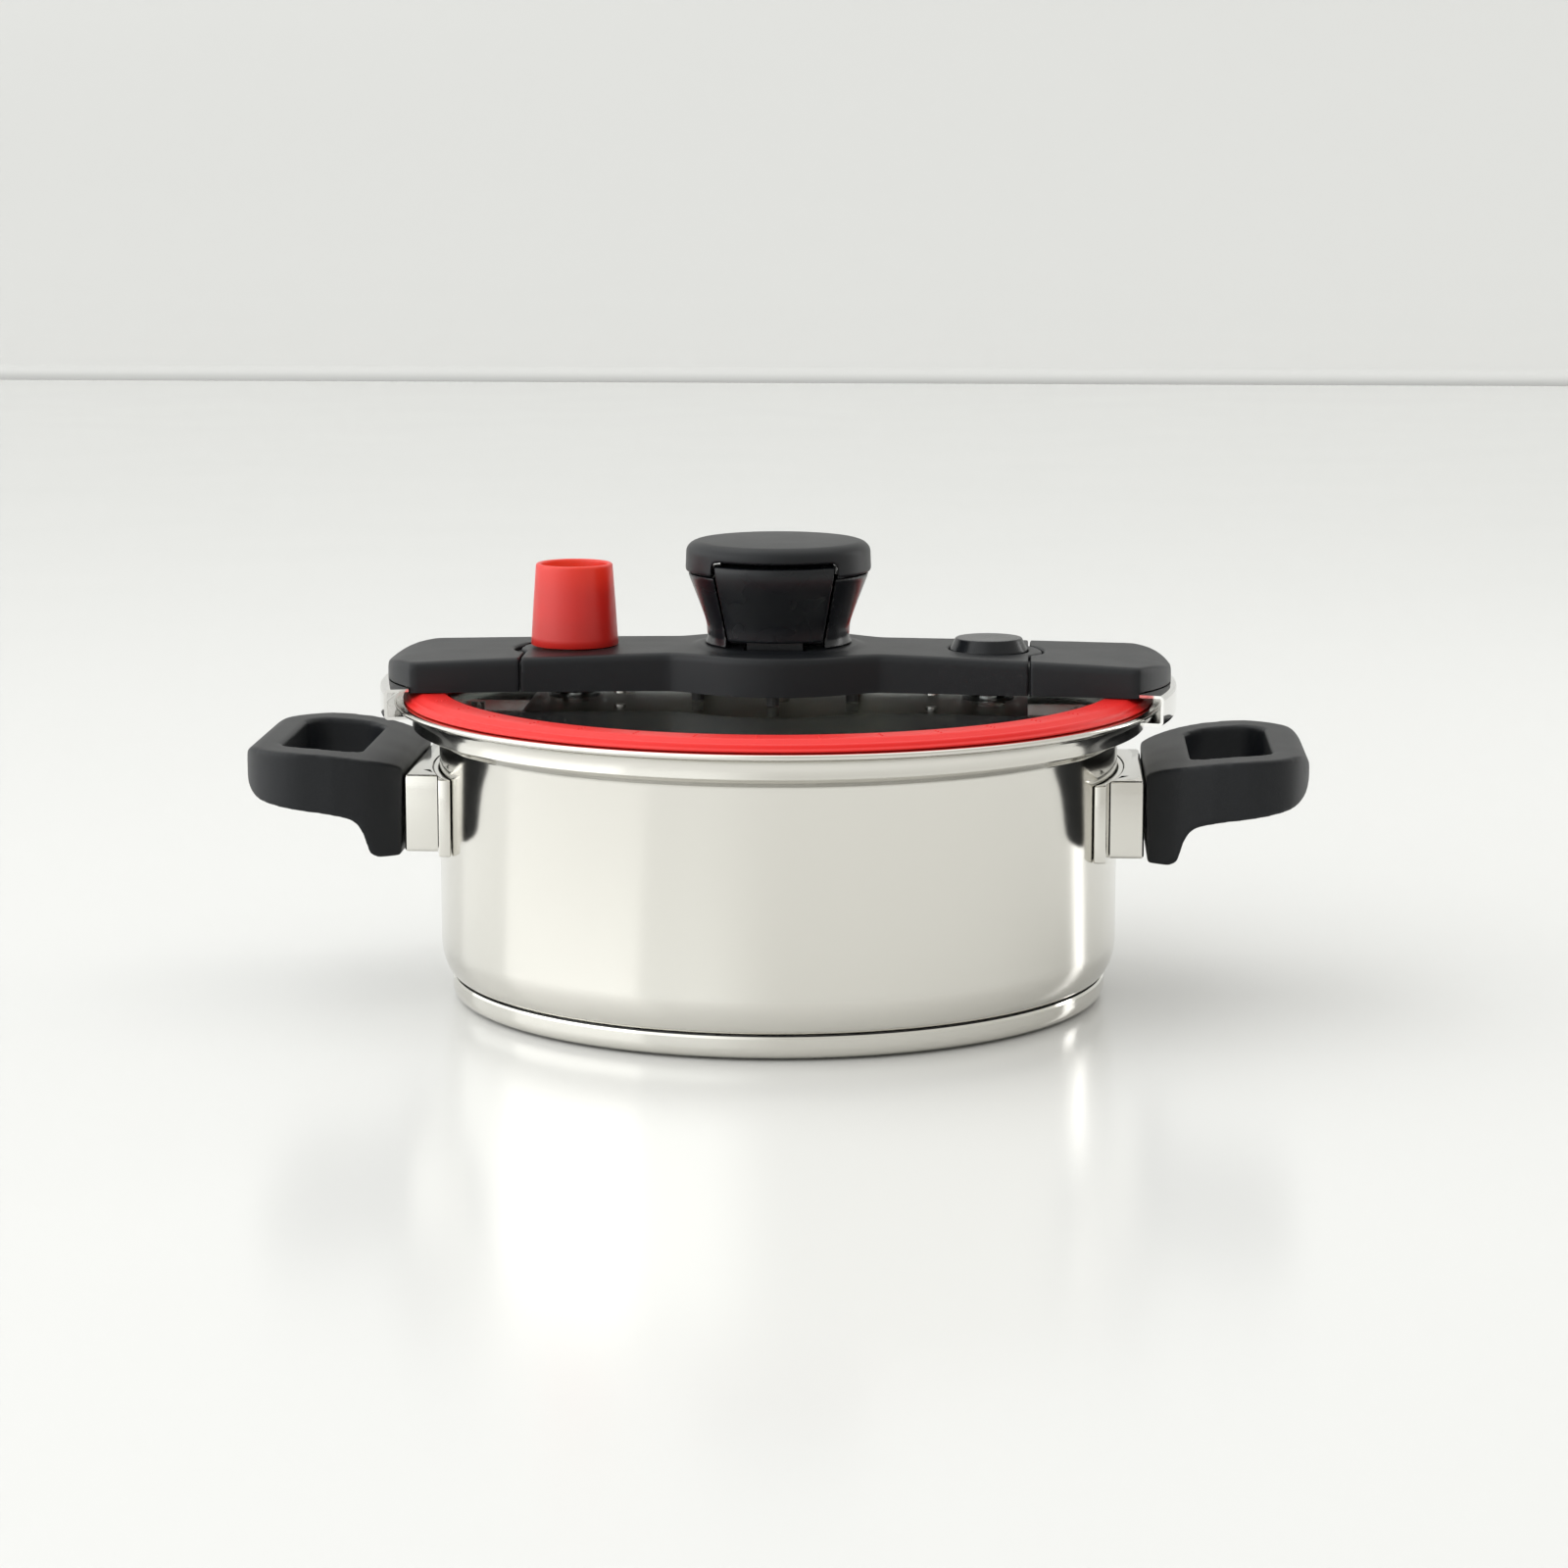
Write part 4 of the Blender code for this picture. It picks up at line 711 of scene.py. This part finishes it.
def make_lid(sizes):
    """Glass disc, the seal ring round it and the ring's raised dots."""
    glass_outline = [(0.0, GLASS_LOW_Z), (GLASS_R - 0.0006, GLASS_LOW_Z), (GLASS_R, GLASS_LOW_Z + 0.0006)]
    glass_outline += [(GLASS_R, GLASS_TOP_Z - 0.0006), (GLASS_R - 0.0006, GLASS_TOP_Z), (0.0, GLASS_TOP_Z)]
    glass = new_object("glass_disc", spun(glass_outline, FINE), "lid_glass", 30)
    combined(
        glass,
        [
            ("DIFFERENCE", disc(VENT_BORE_R, 0.09, 0.12, (VENT_X, 0.0), 48)),
            ("DIFFERENCE", disc(VALVE_BORE_R, 0.09, 0.12, (VALVE_X, 0.0), 48)),
        ],
    )
    stands_for(glass, LID, "tempered_glass", "lid_glass")
    ring = new_object("seal_ring", spun(seal_profile(), FINE + 80), "red_silicone", 50)
    stands_for(ring, LID, "red_silicone", "lid_seal_ring")
    dots = new_object("seal_ring_dots", make_dots(sizes.dot_groups), "red_silicone", 180)
    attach(dots, LID)


# ---------------------------------------------------------------- bridge


def bridge_top(x):
    """Height of the bridge's top at a place along it."""
    return BRIDGE_TOP_Z + (BRIDGE_END_TOP_Z - BRIDGE_TOP_Z) * (abs(x) / BRIDGE_HALF_X) ** 1.5


def bridge_half_y(x):
    """Half the bridge's width at a place along it: straight sides that swell into a round hub."""
    share = min(1.0, abs(x) / (0.9 * BRIDGE_HALF_X))
    side = 0.0225 + 0.0125 * share**1.3
    hub = math.sqrt(max(0.0, 0.0400**2 - x**2))
    mix = min(1.0, max(0.0, 0.5 + 0.5 * (hub - side) / HUB_BLEND))
    return side + (hub - side) * mix + HUB_BLEND * mix * (1.0 - mix)


def bridge_section(x, half, top, low):
    """Cross-section of the bridge with upright sides and a rounded top, slightly crowned."""
    side = [(half, low), (half - 0.0003, (low + top) / 2)]
    side += arc(half - 0.0030, top - 0.0024, 0.0024, 0.0024, 0, 88, 5)
    side += [(half * 0.5, top)]
    return [(x, y, z) for y, z in side] + [(x, -y, z) for y, z in reversed(side)]


def middle_loft(inset, low, reach, steps=96):
    """The bridge's fixed middle, drawn in all round by an inset and cut off at a reach either side."""
    xs = [reach * (2 * i / steps - 1) for i in range(steps + 1)]
    return lofted(
        [bridge_section(x, bridge_half_y(x) - inset, bridge_top(x) - inset, low) for x in xs]
    )


def seam_lip(sign):
    """Lip of the bridge's fixed middle that passes inside a sliding end and closes the seam."""
    start = VALVE_X + 0.0100
    sections = []
    for i in range(8):
        x = sign * (start + 0.0018 * i)
        rims = []
        for inset in (LIP_OUTSIDE, LIP_INSIDE):
            half, top = bridge_half_y(x) - inset, bridge_top(x) - inset
            rims.append(bridge_section(x, half, top, BRIDGE_LOW_Z + 0.0004))
        sections.append(rims[0] + rims[1][::-1])
    return lofted(sections)


def seam_view(grow):
    """Plan of the bridge's fixed middle: straight seams that bulge round the two valves."""
    seam = VALVE_X + 0.0141 + grow
    radius = 0.0190 + grow
    points = []
    for sign, tube_x in ((1, VALVE_X), (-1, -VENT_X)):
        half = math.degrees(math.acos((seam - tube_x) / radius))
        curve = arc(tube_x, 0.0, radius, radius, -half, half, 28)
        points += [(sign * x, sign * y) for x, y in [(seam, -0.06), *curve, (seam, 0.06)]]
    return points


def knob_seat():
    """Low round seat that the knob stands on, with a soft foot."""
    top = BRIDGE_TOP_Z + 0.0005
    low = BRIDGE_TOP_Z - 0.0015
    slope = curve_through(
        [(0.0318, BRIDGE_TOP_Z - 0.0004), (0.0300, BRIDGE_TOP_Z - 0.0001), (0.0284, BRIDGE_TOP_Z + 0.0004)], 5
    )
    return [(0.0, low), (0.0318, low), *slope, (0.0274, top), (0.0, top)]


def make_bridge(sizes):
    """Hollow housing across the lid, with its screw bosses, knob seat and valve well."""
    below = BRIDGE_LOW_Z - TRIM_DEPTH
    seam_x = VALVE_X + 0.0141
    reach = seam_x + 0.0085
    housing = new_object("bridge_middle", middle_loft(0.0, below, reach), "black_nylon")
    well_r = RELEASE_BOX[1][0] - VALVE_X + 0.0006
    combined(
        housing,
        [
            ("INTERSECT", slab(seam_view(0.0), 0.09, 0.14)),
            ("UNION", spun(knob_seat(), 96)),
            ("DIFFERENCE", disc(well_r, WELL_FLOOR_Z, 0.14, (VALVE_X, 0.0), 64)),
        ],
    )
    softened(housing, 0.0006, 5)
    rim_z = bridge_top(VALVE_X) - 0.0008
    shapes = [
        ("DIFFERENCE", block((-0.12, 0.12), (-0.06, 0.06), (0.09, BRIDGE_LOW_Z))),
        ("DIFFERENCE", middle_loft(BRIDGE_WALL, 0.09, reach + 0.01, 48)),
        ("UNION", seam_lip(1)),
        ("UNION", seam_lip(-1)),
        ("DIFFERENCE", disc(well_r, WELL_FLOOR_Z, 0.14, (VALVE_X, 0.0), 64)),
        ("UNION", spun(well_cup(well_r, WELL_FLOOR_Z, rim_z), 64, (VALVE_X, 0.0))),
        ("DIFFERENCE", disc(VALVE_BORE_R, 0.10, 0.14, (VALVE_X, 0.0), 48)),
        ("DIFFERENCE", disc(VENT_BORE_R, 0.10, 0.14, (VENT_X, 0.0), 48)),
        ("UNION", disc(0.0050, DRAWBAR_Z, BRIDGE_TOP_Z - 0.001, steps=32)),
        ("DIFFERENCE", disc(0.0023, 0.10, 0.14, steps=24)),
    ]
    for x in (-0.055, 0.055):
        for y in (-0.0185, 0.0185):
            shapes.append(("UNION", disc(0.0030, DRAWBAR_Z, bridge_top(x) - 0.001, (x, y), 20)))
            shapes.append(("DIFFERENCE", disc(0.0014, 0.10, DRAWBAR_Z + 0.0060, (x, y), 16)))
    for sign in (-1, 1):
        ys = sorted((sign * 0.0112, sign * 0.0236))
        shapes.append(("DIFFERENCE", block((-0.0110, 0.0110), ys, (DRAWBAR_Z, 0.14))))
    combined(housing, shapes)
    housing.data.set_sharp_from_angle(angle=math.radians(50))
    stands_for(housing, LID, "black_nylon", "bridge_housing")
    for side in SIDES:
        make_slider(side, sizes)


def well_cup(radius, floor, rim):
    """The cup round the release button, open at the top."""
    wall = 0.0020
    return [(0.0, floor - wall), (radius + wall, floor - wall), (radius + wall, rim), (radius, rim),
            (radius, floor), (0.0, floor)]


def screw_place(turn):
    """Centre of a clamp screw, at an angle from the X axis in degrees."""
    ring_r = CLAMP_R - 0.0057
    return (ring_r * math.cos(math.radians(turn)), ring_r * math.sin(math.radians(turn)))


def slider_half_y(x):
    """Half width of a slider, whose end is rounded in plan."""
    end_r = 0.0562
    along = x - (BRIDGE_HALF_X - end_r)
    return min(bridge_half_y(x), math.sqrt(max(0.0, end_r**2 - along**2)))


def make_slider(side, sizes):
    """Sliding end of the bridge, hollow and open below, with a pocket for its clamp."""
    end_length, end_drop = 0.0120, 0.0030
    start, turn = VALVE_X + 0.0131, BRIDGE_HALF_X - end_length
    xs = [start + (turn - start) * i / 19 for i in range(20)]
    xs += [BRIDGE_HALF_X - end_length * (1 - i / 12) ** 1.6 - 0.0001 for i in range(1, 13)]
    below = BRIDGE_LOW_Z - TRIM_DEPTH
    sections = []
    for x in xs:
        roll = end_drop * max(0.0, (x - turn) / (BRIDGE_HALF_X - turn)) ** 3
        half = max(slider_half_y(x), 0.0060)
        sections.append(bridge_section(x, half, bridge_top(x) - roll, below))
    slider = new_object(f"bridge_end_{side}", lofted(sections), "black_nylon")
    combined(slider, [("DIFFERENCE", slab(seam_view(sizes.seam), 0.09, 0.14))])
    softened(slider, 0.0006, 5)
    inside = [
        bridge_section(x, bridge_half_y(x) - SLIDER_WALL, bridge_top(x) - SLIDER_WALL, 0.09)
        for x in (0.080, 0.090, 0.100, 0.110, HOOK_R - 0.0145)
    ]
    screw_x = HOOK_R - 0.0255
    flange_in = HOOK_R - 0.0011
    clamp_top = CLAMP_BOX[1][2]
    pocket = [(flange_in, 0.09), (0.16, 0.09), (0.16, clamp_top + GAP), (flange_in, clamp_top + GAP)]
    boss = disc(0.0035, DRAWBAR_Z + 0.0023, bridge_top(screw_x) - 0.001, (screw_x, 0.0), 20)
    shapes = [
        ("DIFFERENCE", block((0.05, 0.17), (-0.06, 0.06), (0.09, BRIDGE_LOW_Z))),
        ("DIFFERENCE", lofted(inside)),
        ("DIFFERENCE", swept(pocket, 30, 96)),
        ("UNION", boss),
        ("DIFFERENCE", disc(0.0016, DRAWBAR_Z, DRAWBAR_Z + 0.0063, (screw_x, 0.0), 16)),
    ]
    for turn in (-6.5, 6.5):
        centre = screw_place(turn)
        shapes.append(("DIFFERENCE", disc(0.0014, clamp_top - 0.005, clamp_top + 0.0040, centre, 16)))
    combined(slider, shapes)
    mirror_mesh(slider, side)
    stands_for(slider, f"{side}_clamp_unit", "black_nylon", f"slider_{side}")


# ---------------------------------------------------------------- clamps


def make_clamp(side):
    """Bent channel that hooks under the rim, with rounded bends and cut ends."""
    outer, thick = CLAMP_R, 0.0010
    low, high = CLAMP_BOX[0][2], CLAMP_BOX[1][2]
    hook, flange = HOOK_R, HOOK_R - 0.0005
    bend, tight = 0.0016, 0.0006
    section = [(hook, low)]
    section += arc(outer - bend, low + bend, bend, bend, -90, 0, 8)
    section += arc(outer - bend, high - bend, bend, bend, 0, 90, 8)
    section += [(flange, high), (flange, high - thick)]
    section += arc(outer - thick - tight, high - thick - tight, tight, tight, 90, 0, 5)
    section += arc(outer - thick - tight, low + thick + tight, tight, tight, 0, -90, 5)
    section += [(hook, low + thick)]
    spread = math.degrees(math.asin(CLAMP_BOX[1][1] / (outer - thick / 2)))
    clamp = new_object(f"clamp_channel_{side}", swept(section, spread, 72), "chrome", 30)
    shapes = []
    for turn in (-6.5, 6.5):
        centre = screw_place(turn)
        shapes.append(("DIFFERENCE", disc(0.0014, high - 0.005, high + 0.004, centre, 24)))
    combined(clamp, shapes)
    mirror_mesh(clamp, side)
    stands_for(clamp, f"{side}_clamp_unit", "polished_steel", f"clamp_{side}")


# ---------------------------------------------------------------- knob


BUTTON_TOP_HALF = 0.0214
BUTTON_LOW_HALF = 0.0166
BUTTON_TOP_Z = KNOB_CAP_Z + 0.0038
BUTTON_LOW_Z = NECK_BOX[0][2] + 0.0025
WEB_HALF = 0.0105
BUTTON_ROOM = 0.0007


def make_knob():
    """The centre knob: a waisted neck and a domed cap."""
    base = NECK_BOX[0][2]
    side = [(0.0264, base)]
    side += curve_through(
        [
            (0.0258, base + 0.0006),
            (0.0252, base + 0.0025),
            (0.0254, 0.1300),
            (0.0258, 0.1335),
            (0.0280, 0.1398),
            (KNOB_R - 0.0014, KNOB_CAP_Z - 0.0020),
            (KNOB_R - 0.0010, KNOB_CAP_Z - GAP),
        ],
        6,
    )
    neck = new_object("knob_stem", spun([(0.0, base), *side, (0.0, KNOB_CAP_Z - GAP)], 128), "smooth_nylon")
    low = BUTTON_LOW_HALF + BUTTON_ROOM
    high = BUTTON_TOP_HALF + BUTTON_ROOM
    pocket = [(-low, 0.12), (low, 0.12), (low, BUTTON_LOW_Z), (high, BUTTON_TOP_Z)]
    pocket += [(-high, BUTTON_TOP_Z), (-low, BUTTON_LOW_Z)]
    shapes = [
        ("UNION", block((-0.0200, 0.0200), (-WEB_HALF, WEB_HALF), (KNOB_CAP_Z - 0.002, KNOB_TOP_Z - 0.004)))
    ]
    for sign in (-1, 1):
        shapes.append(("DIFFERENCE", slab(pocket, *sorted((sign * WEB_HALF, sign * 0.05)), "Y")))
    combined(neck, shapes)
    softened(neck, 0.0005, 4)
    combined(neck, [("DIFFERENCE", disc(0.0023, 0.12, 0.1430, steps=24))])
    stands_for(neck, LID, "black_nylon", "knob_neck")

    top = [(KNOB_R - 0.0012, KNOB_CAP_Z)]
    top += arc(KNOB_R - 0.0010, KNOB_CAP_Z + 0.0010, 0.0010, 0.0010, -80, 0, 4)
    top += [(KNOB_R - 0.0001, KNOB_CAP_Z + 0.0035)]
    top += arc(KNOB_R - 0.0052, KNOB_TOP_Z - 0.0044, 0.0050, 0.0040, 8, 86, 12)
    top += [(0.0150, KNOB_TOP_Z - 0.0001)]
    cap = new_object(
        "knob_top", spun([(0.0, KNOB_CAP_Z), *top, (0.0, KNOB_TOP_Z)], 128), "black_nylon"
    )
    shapes = [("DIFFERENCE", disc(KNOB_R - 0.0035, 0.14, KNOB_TOP_Z - 0.0037, steps=96))]
    for sign in (-1, 1):
        notch = notch_outline(high)
        shapes.append(("DIFFERENCE", slab(notch, *sorted((sign * WEB_HALF, sign * 0.05)), "Y")))
    combined(cap, shapes)
    softened(cap, 0.0005, 5)
    stands_for(cap, LID, "black_nylon", "knob_cap")


def notch_outline(half):
    """Front view (x, z) of the notch in the cap, with round upper corners."""
    top = BUTTON_TOP_Z + 0.0016
    radius = 0.0022
    points = [(-half, 0.14), (half, 0.14)]
    points += arc(half - radius, top - radius, radius, radius, 0, 90, 6)
    points += arc(-half + radius, top - radius, radius, radius, 90, 180, 6)
    return points


def make_button(place):
    """Squeeze button: a soft trapezoid face on a leg down to the cam."""
    back_y = WEB_HALF + 0.0062
    face = [(-BUTTON_LOW_HALF, BUTTON_LOW_Z), (BUTTON_LOW_HALF, BUTTON_LOW_Z)]
    face += [(BUTTON_TOP_HALF, BUTTON_TOP_Z), (-BUTTON_TOP_HALF, BUTTON_TOP_Z)]
    name = f"squeeze_face_{place}"
    button = new_object(name, slab(face, -0.05, -back_y, "Y"), "smooth_nylon")
    side = [(0.0266, BUTTON_LOW_Z - 0.001)]
    side += curve_through(
        [
            (0.0266, BUTTON_LOW_Z),
            (0.0272, 0.1335),
            (0.0292, 0.1400),
            (KNOB_R - 0.0014, 0.1475),
            (KNOB_R - 0.0006, BUTTON_TOP_Z - 0.0015),
            (KNOB_R - 0.0020, BUTTON_TOP_Z + 0.001),
        ],
        6,
    )
    limit = spun([(0.0, BUTTON_LOW_Z - 0.001), *side, (0.0, BUTTON_TOP_Z + 0.001)], 128)
    combined(button, [("INTERSECT", limit)])
    softened(button, 0.0004, 6)
    low = DRAWBAR_Z
    slope = 1.6
    deep, nose = 0.0200, 0.0060
    wide = nose + slope * 0.008
    cam = [(-nose, -0.0120), (-wide, -deep), (-wide, -0.0220)]
    cam += [(-x, y) for x, y in reversed(cam)]
    leg = block((-0.0098, 0.0098), (-0.0225, -back_y - 0.0008), (low, BUTTON_LOW_Z + 0.0020))
    combined(button, [("UNION", leg), ("UNION", slab(cam, low, low + 0.0020))])
    if place == "rear":
        button.data.transform(Matrix.Diagonal((1, -1, 1, 1)))
        button.data.flip_normals()
    button.data.shade_smooth()
    button.data.set_sharp_from_angle(angle=math.radians(50))
    stands_for(button, f"{place}_button_unit", "black_nylon", f"squeeze_button_{place}")


# ---------------------------------------------------------------- vent and release valve


def make_sleeve():
    """Soft sleeve over the vent weight, open at the top."""
    low, high = SLEEVE_BOX[0][2], SLEEVE_BOX[1][2]
    foot_r = SLEEVE_BOX[1][0] - VENT_X
    top_r = 0.0137
    outline = [(foot_r - 0.0003, low), (foot_r, low + 0.0004)]
    outline += curve_through([(foot_r - 0.0002, low + 0.0030), (0.01475, 0.1375), (top_r, high - 0.0008)], 8)
    outline += arc(top_r - 0.0009, high - 0.0008, 0.0009, 0.0008, 0, 180, 8)
    outline += [(0.0128, 0.1400), (0.0108, 0.1390), (0.0108, 0.1340), (0.0138, 0.1330), (0.0138, low)]
    sleeve = new_object("vent_sleeve", spun(outline, 96, (VENT_X, 0.0)), "clear_red_silicone", 50)
    stands_for(sleeve, "regulator_unit", "red_silicone", "silicone_sleeve")


def make_release():
    """Round push button with a flared skirt."""
    low, high = RELEASE_BOX[0][2], RELEASE_BOX[1][2]
    skirt_r = RELEASE_BOX[1][0] - VALVE_X
    top_r = 0.0120
    roof = high - 0.0014
    outline = [(0.0, roof), (top_r - 0.0012, roof), (skirt_r - 0.0014, low), (skirt_r - 0.0003, low)]
    outline += [(skirt_r, low + 0.0003)]
    outline += curve_through(
        [(skirt_r, high - 0.0040), (skirt_r - 0.0007, high - 0.0026), (top_r + 0.0002, high - 0.0009)], 5
    )
    outline += arc(top_r - 0.0006, high - 0.0006, 0.0006, 0.0006, 10, 90, 5)
    outline += [(top_r * 0.5, high - 0.0002), (0.0, high - 0.0003)]
    button = new_object("release_cap", spun(outline, 96, (VALVE_X, 0.0)), "smooth_nylon", 50)
    stands_for(button, "release_unit", "black_nylon", "release_button")


# ---------------------------------------------------------------- kept nodes


KEPT_FINISHES = {
    "aluminium": ["base_core"],
    "polished_steel": ["handle_screw_left", "handle_screw_right"],
    "black_nylon": ["bridge_base_plate"],
    "grey_silicone": ["vent_gasket", "valve_gasket", "valve_seal"],
    "black_rubber": ["vent_washer", "valve_washer", *(f"bridge_foot_{i}" for i in range(1, 7))],
    "brass": ["regulator_weight"],
}


def finish_kept_nodes():
    """Give each node that still shows its own finish; steel is what the rest are made of."""
    finish_of = {node: finish for finish, nodes in KEPT_FINISHES.items() for node in nodes}
    for node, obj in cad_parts.items():
        obj.data.materials.clear()
        obj.data.materials.append(FINISHES[finish_of.get(node, "bright_steel")])


# ---------------------------------------------------------------- stage


def add_light(name, place, aim, energy, size):
    """An area light at a place, aimed at a point."""
    data = bpy.data.lights.new(name, "AREA")
    data.shape = "RECTANGLE"
    data.energy = energy
    data.size, data.size_y = size
    obj = bpy.data.objects.new(name, data)
    obj.location = place
    obj.rotation_euler = (Vector(aim) - Vector(place)).to_track_quat("-Z", "Y").to_euler()
    bpy.context.scene.collection.objects.link(obj)
    return obj


def make_surroundings():
    """Even studio surroundings, brighter on the left and a little warmer on the right."""
    world = bpy.data.worlds.new("studio")
    world.use_nodes = True
    nodes, links = world.node_tree.nodes, world.node_tree.links
    direction = nodes.new("ShaderNodeTexCoord")
    split = nodes.new("ShaderNodeSeparateXYZ")
    share = nodes.new("ShaderNodeMapRange")
    share.interpolation_type = "SMOOTHSTEP"
    share.inputs["From Min"].default_value = -0.42
    share.inputs["From Max"].default_value = 0.12
    colour = nodes.new("ShaderNodeMix")
    colour.data_type = "RGBA"
    colour.inputs[6].default_value = (1.22, 1.24, 1.22, 1.0)
    colour.inputs[7].default_value = (0.58, 0.575, 0.545, 1.0)
    links.new(direction.outputs["Generated"], split.inputs["Vector"])
    links.new(split.outputs["X"], share.inputs["Value"])
    links.new(share.outputs["Result"], colour.inputs[0])
    links.new(colour.outputs[2], nodes["Background"].inputs["Color"])
    nodes["Background"].inputs["Strength"].default_value = 1.28
    return world


def make_stage(colours):
    """Pale floor that curves up into a backdrop, soft lights and the camera."""
    scene = bpy.context.scene
    floor = Finish("pale_floor", tuple(colours.floor), 0.22)
    floor.feed("Roughness", floor.noise(3.0) * 0.06 + 0.16)
    FINISHES["pale_floor"] = floor.material
    outline = [(-4.0, -0.0006), (3.0, -0.0006), *arc(3.0, 1.5, 1.5, 1.5006, -90, 0, 16), (4.5, 5.0)]
    bm = bmesh.new()
    verts = [bm.verts.new((-5.0, y, z)) for y, z in outline]
    edges = [bm.edges.new(pair) for pair in zip(verts, verts[1:])]
    grown = bmesh.ops.extrude_edge_only(bm, edges=edges)["geom"]
    moved = [item for item in grown if isinstance(item, bmesh.types.BMVert)]
    bmesh.ops.translate(bm, verts=moved, vec=(10.0, 0, 0))
    bmesh.ops.recalc_face_normals(bm, faces=bm.faces)
    backdrop = new_object("floor_and_backdrop", bm, "pale_floor", 180)

    scene.world = make_surroundings()
    scene.view_settings.view_transform = "Standard"
    add_light("left_window", (-1.45, -0.50, 0.60), (0, 0, 0.06), 7, (1.7, 1.3))
    add_light("rear_strip", (1.15, 0.72, 0.35), (0, 0, 0.06), 2.2, (0.18, 1.0))
    add_light("top_softbox", (0.0, 0.25, 1.40), (0, 0, 0.10), 5, (1.8, 1.2))

    camera_data = bpy.data.cameras.new("camera")
    camera_data.lens = 96.4
    camera_data.sensor_width = 36.0
    camera_data.clip_end = 50.0
    camera = bpy.data.objects.new("camera", camera_data)
    turn = Matrix.Rotation(math.radians(CAMERA_TURN), 4, "Z")
    camera.location = turn @ Vector((0.0020, -1.485, 0.3255))
    camera.rotation_euler = (math.radians(90 - 9.61), 0.0, math.radians(CAMERA_TURN))
    scene.collection.objects.link(camera)
    scene.camera = camera


# ---------------------------------------------------------------- operators


class PieceOperator:
    """Shared reading of the sizes and colours."""

    bl_options = {"REGISTER"}

    def execute(self, context):
        self.build(context.scene.cooker_sizes, context.scene.cooker_colours)
        return {"FINISHED"}


class COOKER_OT_finishes(PieceOperator, bpy.types.Operator):
    """Make every finish"""

    bl_idname = "cooker.finishes"
    bl_label = "Finishes"

    def build(self, sizes, colours):
        make_finishes(colours)


class COOKER_OT_pot(PieceOperator, bpy.types.Operator):
    """Build the pot's wall, rim and base"""

    bl_idname = "cooker.pot"
    bl_label = "Pot"

    def build(self, sizes, colours):
        make_pot(sizes)


class COOKER_OT_handles(PieceOperator, bpy.types.Operator):
    """Build both side handles with their guards and brackets"""

    bl_idname = "cooker.handles"
    bl_label = "Side handles"

    def build(self, sizes, colours):
        for side in SIDES:
            make_handle(side)
            make_guard(side, sizes)
            make_bracket(side, sizes)


class COOKER_OT_lid(PieceOperator, bpy.types.Operator):
    """Build the glass lid and its seal ring"""

    bl_idname = "cooker.lid"
    bl_label = "Glass lid"

    def build(self, sizes, colours):
        make_lid(sizes)


class COOKER_OT_bridge(PieceOperator, bpy.types.Operator):
    """Build the bridge with its two sliding ends"""

    bl_idname = "cooker.bridge"
    bl_label = "Bridge"

    def build(self, sizes, colours):
        make_bridge(sizes)


class COOKER_OT_clamps(PieceOperator, bpy.types.Operator):
    """Build both clamps"""

    bl_idname = "cooker.clamps"
    bl_label = "Clamps"

    def build(self, sizes, colours):
        for side in SIDES:
            make_clamp(side)


class COOKER_OT_knob(PieceOperator, bpy.types.Operator):
    """Build the knob and its squeeze buttons"""

    bl_idname = "cooker.knob"
    bl_label = "Knob"

    def build(self, sizes, colours):
        make_knob()
        for place in ("front", "rear"):
            make_button(place)


class COOKER_OT_valves(PieceOperator, bpy.types.Operator):
    """Build the vent's sleeve and the release button"""

    bl_idname = "cooker.valves"
    bl_label = "Vent and release"

    def build(self, sizes, colours):
        make_sleeve()
        make_release()


class COOKER_OT_kept(PieceOperator, bpy.types.Operator):
    """Finish the nodes that are kept as they are"""

    bl_idname = "cooker.kept"
    bl_label = "Kept parts"

    def build(self, sizes, colours):
        finish_kept_nodes()


class COOKER_OT_stage(PieceOperator, bpy.types.Operator):
    """Set the floor, the lights and the camera"""

    bl_idname = "cooker.stage"
    bl_label = "Stage"

    def build(self, sizes, colours):
        make_stage(colours)


OPERATORS = (
    COOKER_OT_finishes,
    COOKER_OT_kept,
    COOKER_OT_pot,
    COOKER_OT_handles,
    COOKER_OT_lid,
    COOKER_OT_bridge,
    COOKER_OT_clamps,
    COOKER_OT_knob,
    COOKER_OT_valves,
    COOKER_OT_stage,
)


class COOKER_PT_panel(bpy.types.Panel):
    """Sizes, colours and the pieces to build"""

    bl_idname = "COOKER_PT_panel"
    bl_label = "Pressure cooker"
    bl_space_type = "VIEW_3D"
    bl_region_type = "UI"
    bl_category = "Cooker"

    def draw(self, context):
        for group in (context.scene.cooker_sizes, context.scene.cooker_colours):
            for key in group.bl_rna.properties.keys():
                if key not in ("rna_type", "name"):
                    self.layout.prop(group, key)
        for operator in OPERATORS:
            self.layout.operator(operator.bl_idname)


CLASSES = (CookerSizes, CookerColours, *OPERATORS, COOKER_PT_panel)


def register():
    for cls in CLASSES:
        bpy.utils.register_class(cls)
    bpy.types.Scene.cooker_sizes = bpy.props.PointerProperty(type=CookerSizes)
    bpy.types.Scene.cooker_colours = bpy.props.PointerProperty(type=CookerColours)


def unregister():
    del bpy.types.Scene.cooker_colours
    del bpy.types.Scene.cooker_sizes
    for cls in reversed(CLASSES):
        bpy.utils.unregister_class(cls)


def main():
    """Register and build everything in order."""
    register()
    for operator in OPERATORS:
        getattr(bpy.ops.cooker, operator.bl_idname.split(".")[1])()


if __name__ == "__main__":
    main()
